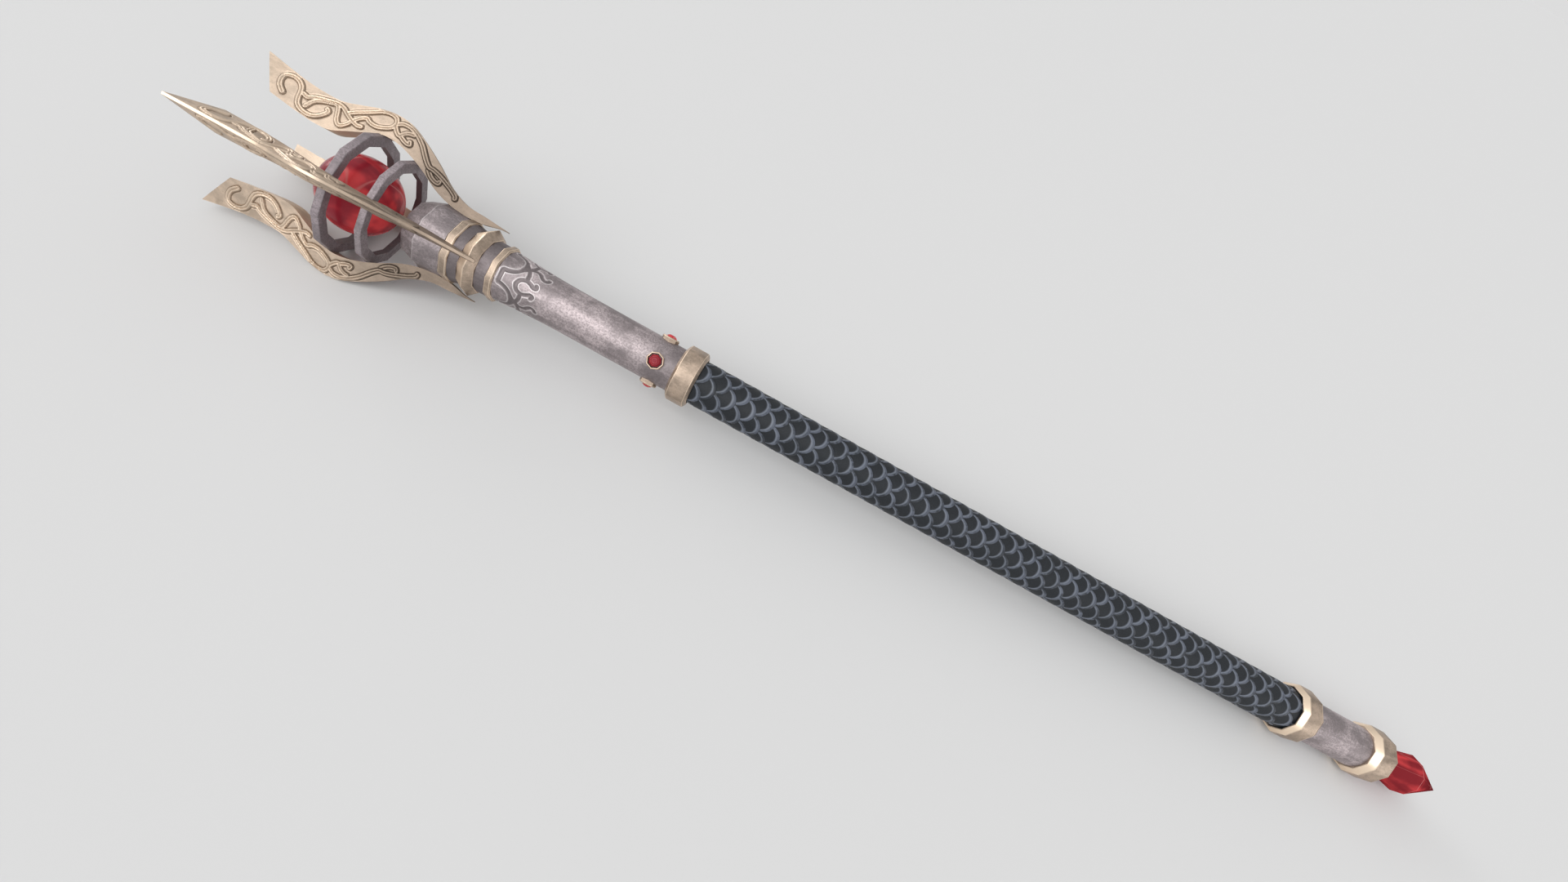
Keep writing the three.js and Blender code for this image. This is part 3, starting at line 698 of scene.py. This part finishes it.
def knot_relief(distance, share, width):
    """Body and dark outline of the knotwork, 0 to 1, with strands passing over and under.

    Where two strands cross, the one that passes under is cut back close to the other.
    """
    radius, _ = blade_place(distance, share)
    points = np.stack([distance, radius], axis=1)
    half = width / 2
    paths = []
    for strand in KNOT_STRANDS:
        path = smooth_path(strand, 0.02)
        path_radius, _ = blade_place(path[:, 0], path[:, 1])
        path = np.stack([path[:, 0], path_radius], axis=1)
        length = np.concatenate([[0], np.cumsum(np.linalg.norm(np.diff(path, axis=0), axis=1))])
        even = np.arange(0, length[-1], STRAND_STEP)
        paths.append(np.stack([np.interp(even, length, path[:, k]) for k in (0, 1)], axis=1))
    gaps = [gap_to(path, points) for path in paths]
    bodies = [1 - ease(gap, half - 0.3, half + 0.1) for gap in gaps]
    outlines = [np.exp(-(((gap - half - 0.1) / 0.34) ** 2)) for gap in gaps]
    furrows = [0.5 * np.exp(-((gap / 0.26) ** 2)) for gap in gaps]
    crossings = 0
    for i, a in enumerate(paths):
        for j in range(i + 1, len(paths)):
            gap = gap_to(paths[j], a)
            for k in range(1, len(gap) - 1):
                if gap[k] >= STRAND_STEP or gap[k] > gap[k - 1] or gap[k] >= gap[k + 1]:
                    continue
                over, under = (i, j) if crossings % 2 == 0 else (j, i)
                crossings += 1
                close = np.linalg.norm(points - a[k], axis=1) < width * 1.6
                cut = np.where(close, ease(gaps[over], half + 0.3, half + 0.6), 1)
                bodies[under] = bodies[under] * cut
                outlines[under] = outlines[under] * cut
    cover = np.max(bodies, axis=0)
    furrow = np.max([b * f for b, f in zip(bodies, furrows)], axis=0)
    outline = np.max(outlines, axis=0) * (1 - ease(cover, 0.5, 0.9))
    return cover - furrow, np.maximum(outline, furrow)


def fin_distance(row, share):
    """How far from the tip a row of a fin lies. The tip itself is cut at a slant."""
    cut = TIP_CUT * (1 - share)
    return cut + (BLADE_LENGTH - cut) * row / FIN_ROWS


def fin_columns(column):
    """What columns of a fin lie on: step up the side, place across, on a side, on the ridge."""
    far_side = SIDE_ROWS + RIDGE_ROWS
    base = far_side + SIDE_ROWS
    near = column <= SIDE_ROWS
    far = (column >= far_side) & (column <= base)
    on_ridge = (column > SIDE_ROWS) & (column < far_side)
    on_base = column > base
    step = np.zeros(len(column), int)
    step[near] = column[near]
    step[far] = base - column[far]
    step[on_ridge] = SIDE_ROWS
    across = np.where(near, -1.0, 1.0)
    across[on_ridge] = -1 + 2 * (column[on_ridge] - SIDE_ROWS) / RIDGE_ROWS
    across[on_base] = 1 - 2 * (column[on_base] - base) / BASE_ROWS
    return step, across, near | far, on_ridge


class SCEPTRE_OT_blades(bpy.types.Operator):
    """Four cast fin blades with knotwork raised on both sides."""

    bl_idname = "sceptre.blades"
    bl_label = "Blades"

    def execute(self, context):
        sizes = context.scene.sceptre_sizes
        rows, steps = np.meshgrid(np.arange(FIN_ROWS + 1), np.arange(SIDE_ROWS + 1), indexing="ij")
        shares = steps / SIDE_ROWS
        field = knot_relief(
            fin_distance(rows, shares).ravel(), shares.ravel(), sizes.knot_width / MM,
        )
        bodies, outlines = (part.reshape(rows.shape) for part in field)

        def place(row, column):
            step, across, on_side, on_ridge = fin_columns(column)
            share = step / SIDE_ROWS
            distance = fin_distance(row, share)
            radius, lateral = blade_place(distance, share)
            from_edge = np.minimum(share, 1 - share)
            shown = ease(from_edge, 0.02, 0.06) * (1 - ease(distance, *KNOTS_FADE)) * on_side
            body = bodies[row, step] * shown
            outline = outlines[row, step] * shown
            relief = (0.9 * body - 0.6 * outline) * sizes.knot_height / MM
            tarnish = ease(distance, *TARNISHED)
            hollow = np.clip(outline + 0.08 * body + 0.52 * tarnish, 0, 1)
            # Lighter ground all over, with painted highlights along both edges of each side, on the
            # strands' bodies, on the ridge and on the inner edge, fading where the blade darkens
            worn = 0.22 + 0.2 * ease(share, 0.975, 0.995) + 0.15 * ease(1 - share, 0.98, 1.0)
            worn = np.where(on_side, worn + 0.3 * body, np.where(on_ridge, 0.7, 0.35))
            points = round_points(BLADE_TIP + distance, radius, 0.0, lateral * across)
            points[:, 1] -= across * relief
            return points, {"hollow": hollow, "worn": worn * (1 - 0.85 * tarnish)}, None

        around = 2 * SIDE_ROWS + BASE_ROWS + RIDGE_ROWS
        mesh = wrapped_grid(FIN_ROWS, around, place, "blade_fin")
        for k in range(BLADE_COUNT):
            fin = mesh.copy()
            fin.transform(LIE @ Matrix.Rotation(FIRST_BLADE + k * QUARTER, 4, "X"))
            keep(f"blade_fin_{k + 1}", fin, "brass", [f"blade_{k + 1}"], even=False)
        return {"FINISHED"}


# Hoops


class SCEPTRE_OT_hoops(bpy.types.Operator):
    """Two flat twelve-sided hoops round the orb, tilted about one pair of blades."""

    bl_idname = "sceptre.hoops"
    bl_label = "Hoops"

    def execute(self, context):
        sizes = context.scene.sceptre_sizes
        round_off = sizes.hoop_round / MM
        for name, radius, depth, width, place in HOOPS:
            side = width / 2
            inner = radius - depth
            arc = [
                (side - round_off * (1 - math.sin(a)), radius - round_off * (1 - math.cos(a)))
                for a in np.linspace(0, QUARTER, 4)
            ]
            outer = [(-x, r) for x, r in reversed(arc)] + arc
            bm = spun([*outer, (side, inner), (-side, inner)], HOOP_SIDES, closed=True)
            # Painted shade on the faces that look in at the axis, and painted highlights on the
            # rounded edges
            mark(bm, "hollow", 0.85, looks_in)
            soften(bm, sizes.edge_round / MM, corner=60, glint=0.2)
            hinge = Vector((0, math.sin(FIRST_BLADE), math.cos(FIRST_BLADE)))
            tilt = Matrix.Rotation(sizes.hoop_tilt, 4, hinge)
            turn = Matrix.Rotation(-FIRST_BLADE, 4, "X")
            matrix = LIE @ Matrix.Translation((place * MM, 0, 0)) @ tilt @ turn
            keep(f"{name}_band", to_mesh(bm, name, matrix), "dark_steel", [name])
        return {"FINISHED"}


# Turned metal


class SCEPTRE_OT_rings(bpy.types.Operator):
    """The ten-sided socket, rings and collars."""

    bl_idname = "sceptre.rings"
    bl_label = "Socket, rings and collars"

    def execute(self, context):
        round_off = context.scene.sceptre_sizes.edge_round / MM
        turn = LIE @ Matrix.Rotation(-FIRST_BLADE, 4, "X")
        for name, material, bore, profile in TURNED:
            if bore is None:
                bm = spun(profile, SIDES)
            else:
                front, back = profile[0][0], profile[-1][0]
                bm = spun([*profile, (back, bore), (front, bore)], SIDES, closed=True)
            # Painted highlights on the slopes that face the head
            if name in FRONT_GLINTS:
                mark(bm, "worn", FRONT_GLINTS[name], lambda face: -0.9 < face.normal.x < -0.3)
            if name == "socket":
                mark(bm, "hollow", 0.25, lambda face: True)
            # The rounded edges are painted lighter, as highlights
            soften(bm, round_off, glint=0.55 if material == "brass" else 0.35)
            keep(f"{name}_cast", to_mesh(bm, name, turn), material, [name])
        return {"FINISHED"}


def flare(distance):
    """The sleeve's radius at a distance from the neck ring."""
    share = np.clip(distance / FLARE_LENGTH, 0, 1)
    return TUBE_RADIUS + (FLARE_RADIUS - TUBE_RADIUS) * (1 - share) ** 2


def scroll_gap(distance, turn):
    """How far points on the sleeve lie from the nearest scroll, in millimetres.

    The scrolls repeat mirrored every eighth of a turn, and the hooks every quarter.
    """
    mirrored = np.degrees(np.abs((turn + FIRST_BLADE) % QUARTER - FIRST_BLADE))
    halved = np.degrees(np.abs((turn + QUARTER) % math.pi - QUARTER))
    to_mm = np.radians(1) * SCROLL_RADIUS
    best = np.full(len(distance), FAR)
    near = (distance < SCROLLED_LENGTH) & (distance > -1)
    for line, degrees in [(line, mirrored) for line in SCROLL_LINES] + [(HOOK_LINE, halved)]:
        points = np.stack([distance, degrees * to_mm], axis=1)[near]
        path = smooth_path(line, 0.15) * (1, to_mm)
        best[near] = np.minimum(best[near], gap_to(path, points))
    return best


class SCEPTRE_OT_sleeve(bpy.types.Operator):
    """The steel sleeve with its cut scrolls, and the plain ferrule."""

    bl_idname = "sceptre.sleeve"
    bl_label = "Sleeve and ferrule"

    def execute(self, context):
        sizes = context.scene.sceptre_sizes
        scrolled = np.arange(0, SCROLLED_LENGTH, SCROLL_STEP)
        plain = np.linspace(SCROLLED_LENGTH, SLEEVE_LENGTH, PLAIN_ROWS)
        distances = np.concatenate([scrolled, plain])
        tube = np.stack([NECK_RING[1] + distances, flare(distances)], axis=1)
        stations = np.vstack([SLEEVE_HEAD, tube])

        def place(row, column):
            x, radius = stations[row, 0], stations[row, 1]
            turn = column / SLEEVE_POINTS * 2 * math.pi
            gap = scroll_gap(x - NECK_RING[1], turn - FIRST_BLADE)
            clear = x > NECK_RING[1] - 0.05
            half = sizes.scroll_width / MM / 2
            cut = (1 - ease(gap, half - 0.6, half + 0.2)) * clear
            lip = np.exp(-(((gap - half - 0.4) / LIP_WIDTH) ** 2)) * clear
            darkening = 0.5 * ease(x, *STUD_DARKENING)
            darkening += 0.25 * (1 - ease(x, *NECK_DARKENING))
            # Painted shade on the steel under and between the rings at the head end
            darkening = np.where(x < NECK_RING[0] + 1, 0.8, darkening)
            radius = radius - cut * sizes.scroll_depth / MM + lip * LIP_HEIGHT
            # Dark scroll cuts and darkening, and painted highlights along the scrolls' lips
            values = {"hollow": np.maximum(0.8 * cut, darkening), "worn": lip * 0.85}
            return round_points(x, radius, turn), values, None

        mesh = wrapped_grid(len(stations) - 1, SLEEVE_POINTS, place, "sleeve")
        mesh.transform(LIE)
        keep("sleeve_tube", mesh, "steel", ["sleeve"], even=False)

        bm = spun([
            (LOWER_JOINT, 0), (LOWER_JOINT, FERRULE_RADIUS), (FERRULE_END, FERRULE_RADIUS),
            (FERRULE_END, 0),
        ], FERRULE_POINTS)
        # A ring of points splits the ferrule's long faces where they show
        bmesh.ops.bisect_plane(
            bm, geom=bm.verts[:] + bm.edges[:] + bm.faces[:],
            plane_co=(FERRULE_SPLIT * MM, 0, 0), plane_no=(1, 0, 0),
        )
        keep("ferrule_tube", to_mesh(bm, "ferrule", LIE), "steel", ["ferrule"])
        return {"FINISHED"}


# Grip


def scale_lift(across, along):
    """Height of the scales, 0 to 1, at counts of scales round and along the grip."""
    side = np.abs((across + 0.5) % 1 - 0.5) * 2

    def ahead(t, shift):
        drop = (1 - np.sqrt(1 - (SCALE_ARC * t) ** 2)) / SCALE_BEND / 2
        return 1 - (along + drop + shift) % 1

    near = np.minimum(ahead(side, 0.0), ahead(1 - side, 0.5))
    return (1 - near) ** 1.5 * ease(near, 0.0, 0.035)


class SCEPTRE_OT_grip(bpy.types.Operator):
    """The grip, covered in rounded scales that overlap toward the pommel."""

    bl_idname = "sceptre.grip"
    bl_label = "Grip"

    def execute(self, context):
        sizes = context.scene.sceptre_sizes
        start, end = GRIP_ENDS
        pitch = sizes.scale_pitch / MM

        def place(row, column):
            x = start + (end - start) * row / GRIP_ROWS
            share = column / GRIP_POINTS
            count_round, count_along = share * sizes.scales_around, (x - UPPER_COLLAR[1]) / pitch
            radius = GRIP_RADIUS + scale_lift(count_round, count_along) * sizes.scale_rise / MM
            points = round_points(x, radius, share * 2 * math.pi + FIRST_BLADE)
            return points, {}, np.stack([count_round, count_along], axis=1)

        mesh = wrapped_grid(GRIP_ROWS, GRIP_POINTS, place, "grip")
        mesh.transform(LIE)
        keep("grip_scales", mesh, "leather", ["grip"], corner_angle=60, even=False)
        return {"FINISHED"}


# Glass


class SCEPTRE_OT_glass(bpy.types.Operator):
    """The orb and the ten-sided crystal of the pommel."""

    bl_idname = "sceptre.glass"
    bl_label = "Orb and crystal"

    def execute(self, context):
        bm = bmesh.new()
        bmesh.ops.create_icosphere(
            bm, subdivisions=5, radius=ORB_RADIUS * MM,
            matrix=Matrix.Translation((ORB_CENTRE * MM, 0, 0)),
        )
        keep("orb_glass", to_mesh(bm, "orb", LIE), "red_glass", ["orb"])
        bm = spun([
            (CRYSTAL_ROOT, 0), (CRYSTAL_ROOT, CRYSTAL_ROOT_RADIUS),
            (POMMEL_COLLAR[1], CRYSTAL_ROOT_RADIUS), (CRYSTAL_GIRDLE, CRYSTAL_RADIUS),
            (CRYSTAL_POINT, 0),
        ], SIDES)
        # The rounded edges are painted pale, as highlights
        soften(bm, CRYSTAL_ROUND, corner=15, segments=1)
        turn = LIE @ Matrix.Rotation(-FIRST_BLADE, 4, "X")
        keep("crystal_cut", to_mesh(bm, "crystal", turn), "crystal",
             ["pommel_crystal"], corner_angle=38)
        return {"FINISHED"}


class SCEPTRE_OT_studs(bpy.types.Operator):
    """Eight-sided bezels with cut stones, standing on the sleeve."""

    bl_idname = "sceptre.studs"
    bl_label = "Studs"

    def execute(self, context):
        for k in range(BLADE_COUNT):
            stand = LIE @ Matrix.Translation((STUD_PLACE * MM, 0, 0))
            stand = stand @ Matrix.Rotation(FIRST_BLADE + k * QUARTER, 4, "X")
            stand = stand @ Matrix.Rotation(-QUARTER, 4, "Y")
            bm = spun(BEZEL, STUD_SIDES, closed=True)
            # Painted shade on the faces inside the bezel, and painted highlights on its rounded
            # edges
            mark(bm, "hollow", 1.0, looks_in)
            soften(bm, BEZEL_ROUND)
            keep(f"stud_bezel_cast_{k + 1}", to_mesh(bm, "bezel", stand), "brass",
                 [f"stud_bezel_{k + 1}"])
            bm = spun(STONE, STUD_SIDES)
            # The rounded edges are painted pale, as highlights
            soften(bm, STONE_ROUND, corner=15, segments=1)
            keep(f"stud_stone_cut_{k + 1}", to_mesh(bm, "stone", stand), "red_glass",
                 [f"stud_stone_{k + 1}"], corner_angle=12)
        return {"FINISHED"}


# Stage


def add_sun(name, source, strength, degrees):
    """A soft light from far off, from the side that source points to."""
    data = bpy.data.lights.new(name, "SUN")
    data.energy = strength
    data.angle = math.radians(degrees)
    lamp = bpy.data.objects.new(name, data)
    lamp.rotation_euler = Vector(source).to_track_quat("Z", "Y").to_euler()
    bpy.context.scene.collection.objects.link(lamp)


class SCEPTRE_OT_stage(bpy.types.Operator):
    """A pale floor under a soft sky, lights and the camera."""

    bl_idname = "sceptre.stage"
    bl_label = "Stage, lights and camera"

    def execute(self, context):
        stage = context.scene.sceptre_stage
        bm = bmesh.new()
        bmesh.ops.create_circle(bm, cap_ends=True, segments=64, radius=stage.floor_radius)
        mesh = to_mesh(bm, "floor")
        floor = bpy.data.objects.new("floor", mesh)
        context.scene.collection.objects.link(floor)
        finish = Finish("floor_paper", Roughness=0.9, Base_Color=tuple(stage.floor) + (1.0,))
        mesh.materials.append(finish.material)

        world = bpy.data.worlds.new("studio")
        world.use_nodes = True
        sky = Tree(world.node_tree)
        direction = sky.add("ShaderNodeTexCoord").outputs["Generated"]
        height = sky.add("ShaderNodeSeparateXYZ", {0: direction}).outputs[2]
        even = sky.spread(height, 0.0, 1.0, stage.sky_low, stage.sky_high, way="LINEAR")
        haze = sky.spread(height, 0.0, HAZE_TOP, stage.haze, 0.0)
        background = sky.nodes["Background"]
        background.inputs["Color"].default_value = (1, 1, 1, 1)
        sky.put(background.inputs["Strength"], sky.math("ADD", even, haze))
        context.scene.world = world
        for name, source, degrees in SUNS:
            add_sun(name, source, getattr(stage, name), degrees)

        # The view, told from a point on the staff's axis: the staff runs across a level
        # picture at a slight slant in depth, and the picture is then rolled.
        slant = stage.slant
        toward = Matrix.Rotation(FIRST_BLADE - stage.face_turn, 4, "X") @ Vector((0, 0, 1))
        along = Vector((1, 0, 0))
        level_right = along * math.cos(slant) + toward * math.sin(slant)
        forward = along * math.sin(slant) - toward * math.cos(slant)
        level_down = forward.cross(level_right)
        right = level_right * math.cos(stage.roll) - level_down * math.sin(stage.roll)
        down = level_right * math.sin(stage.roll) + level_down * math.cos(stage.roll)
        aim = Vector((stage.aim, 0, 0))
        eye = aim - level_down * stage.offset - forward * stage.reach
        turn = Matrix((right, -down, -forward)).transposed().to_4x4()
        data = bpy.data.cameras.new("camera")
        data.lens = stage.lens
        data.clip_start = 0.01
        camera = bpy.data.objects.new("camera", data)
        camera.matrix_world = LIE @ Matrix.Translation(eye) @ turn
        context.scene.collection.objects.link(camera)
        context.scene.camera = camera
        context.scene.view_settings.view_transform = "Standard"
        return {"FINISHED"}


# Settings


def color_setting(name, description, default):
    return bpy.props.FloatVectorProperty(
        name=name, description=description, default=default, subtype="COLOR", size=3, min=0, max=1,
    )


def length_setting(name, description, default):
    return bpy.props.FloatProperty(
        name=name, description=description, default=default, subtype="DISTANCE", unit="LENGTH",
    )


def angle_setting(name, description, default):
    return bpy.props.FloatProperty(
        name=name, description=description, default=default, subtype="ANGLE", unit="ROTATION",
    )


def strength_setting(name, description, default):
    return bpy.props.FloatProperty(name=name, description=description, default=default, min=0)


class SceptreSizes(bpy.types.PropertyGroup):
    knot_width: length_setting("Knot width", "Width of a strand of the knotwork", 0.0030)
    knot_height: length_setting("Knot height", "Height of a strand over its ground", 0.0008)
    edge_round: length_setting("Edge rounding", "Rounding of the rings' and hoops' edges", 0.0003)
    hoop_round: length_setting("Hoop rounding", "Rounding of the hoops' outer edges", 0.0006)
    scroll_width: length_setting("Scroll width", "Width of a line cut in the sleeve", 0.0027)
    scroll_depth: length_setting("Scroll depth", "Depth of a line cut in the sleeve", 0.0005)
    scale_pitch: length_setting("Scale pitch", "One row of scales to the next", 0.014665)
    scale_rise: length_setting("Scale rise", "Height of a scale's edge over its foot", 0.0006)
    scales_around: bpy.props.IntProperty(
        name="Scales around", description="Scales in one row round the grip", default=6, min=3,
    )
    hoop_tilt: angle_setting("Hoop tilt", "Tilt of the hoops", math.radians(8))


class SceptreColors(bpy.types.PropertyGroup):
    brass: color_setting("Brass", "Pale worn brass", (0.48, 0.38, 0.3))
    # Dark brass for the knotwork's outlines and the blades' darkened tails, and painted shade
    # inside the bezels
    brass_patina_and_shade: color_setting("Brass hollows", "Dark outlines of the knotwork", (0.15, 0.12, 0.1))
    # Light brass for wear and for painted highlights on edges, slopes, ridges and strands
    brass_wear_and_glint: color_setting("Worn brass", "Bright edges of the brass", (0.96, 0.78, 0.6))
    steel: color_setting("Steel", "Brushed steel", (0.47, 0.409, 0.416))
    # Light steel for painted highlights on edges and along the scrolls' lips
    steel_wear_and_glint: color_setting("Worn steel", "Bright edges of the steel", (0.75, 0.71, 0.71))
    dark_steel: color_setting("Dark steel", "Steel of the hoops", (0.335, 0.285, 0.3))
    leather: color_setting("Leather", "Dark middle of the scales", (0.007, 0.0098, 0.0138))
    leather_edge: color_setting("Leather edge", "Paler border of the scales", (0.086, 0.099, 0.13))
    leather_line: color_setting("Leather line", "Thin line inside the border", (0.17, 0.19, 0.23))
    red_glass: color_setting("Red glass", "Glass of the orb and the stones", (0.9, 0.085, 0.095))
    red_deep: color_setting("Deep red", "Darker parts of the glass", (0.36, 0.028, 0.046))
    crystal: color_setting("Crystal", "Glass of the crystal", (0.62, 0.062, 0.066))
    crystal_deep: color_setting("Deep crystal", "Darker bands of the crystal", (0.2, 0.02, 0.026))
    # Pale streaks in the glass, partly painted reflections, and the painted highlights on glass
    # edges
    red_vein_and_sheen: color_setting("Vein", "Pale streaks in the glass", (0.8, 0.3, 0.28))


class SceptreStage(bpy.types.PropertyGroup):
    floor: color_setting("Floor", "Pale paper", (0.63, 0.63, 0.63))
    floor_radius: length_setting("Floor radius", "Radius of the floor", 60.0)
    sky_low: strength_setting("Low sky", "Strength of the sky at the horizon", 0.36)
    sky_high: strength_setting("High sky", "Strength of the sky overhead", 0.9)
    haze: strength_setting("Haze", "Strength added to the sky at the horizon", 0.36)
    key: strength_setting("Key", "Main light", 1.5)
    side: strength_setting("Side", "Light from the pommel's side", 0.45)
    head: strength_setting("Head", "Light from the head's side", 0.9)
    lens: bpy.props.FloatProperty(
        name="Lens", description="Focal length in millimetres", default=15.0, unit="CAMERA",
    )
    slant: angle_setting("Slant", "The staff's slant in depth", math.radians(4.2))
    face_turn: angle_setting(
        "Face turn", "How far the view stands round from the front blade", math.radians(5),
    )
    roll: angle_setting("Roll", "Turn of the picture", math.atan2(0.4843, 0.8749))
    aim: length_setting("Aim", "Place on the staff's axis that the view is told from", 0.0774)
    offset: length_setting("Offset", "How far the axis stands off the view's middle", -0.00645)
    reach: length_setting("Reach", "Distance from the eye to the staff's axis", 0.441)


class SCEPTRE_PT_panel(bpy.types.Panel):
    """The sceptre's settings and steps."""

    bl_label = "Sceptre"
    bl_idname = "SCEPTRE_PT_panel"
    bl_space_type = "VIEW_3D"
    bl_region_type = "UI"
    bl_category = "Sceptre"

    def draw(self, context):
        for group in ("sceptre_sizes", "sceptre_colors", "sceptre_stage"):
            settings = getattr(context.scene, group)
            for key in settings.bl_rna.properties.keys():
                if key not in ("rna_type", "name"):
                    self.layout.prop(settings, key)
        for step in STEPS:
            self.layout.operator(step.bl_idname)


STEPS = (
    SCEPTRE_OT_stage,
    SCEPTRE_OT_blades,
    SCEPTRE_OT_hoops,
    SCEPTRE_OT_rings,
    SCEPTRE_OT_sleeve,
    SCEPTRE_OT_grip,
    SCEPTRE_OT_glass,
    SCEPTRE_OT_studs,
)
CLASSES = (SceptreSizes, SceptreColors, SceptreStage, *STEPS, SCEPTRE_PT_panel)


def register():
    for cls in CLASSES:
        bpy.utils.register_class(cls)
    bpy.types.Scene.sceptre_sizes = bpy.props.PointerProperty(type=SceptreSizes)
    bpy.types.Scene.sceptre_colors = bpy.props.PointerProperty(type=SceptreColors)
    bpy.types.Scene.sceptre_stage = bpy.props.PointerProperty(type=SceptreStage)


def unregister():
    del bpy.types.Scene.sceptre_stage
    del bpy.types.Scene.sceptre_colors
    del bpy.types.Scene.sceptre_sizes
    for cls in reversed(CLASSES):
        bpy.utils.unregister_class(cls)


def main():
    register()
    for step in STEPS:
        group, name = step.bl_idname.split(".")
        getattr(getattr(bpy.ops, group), name)()


if __name__ == "__main__":
    main()
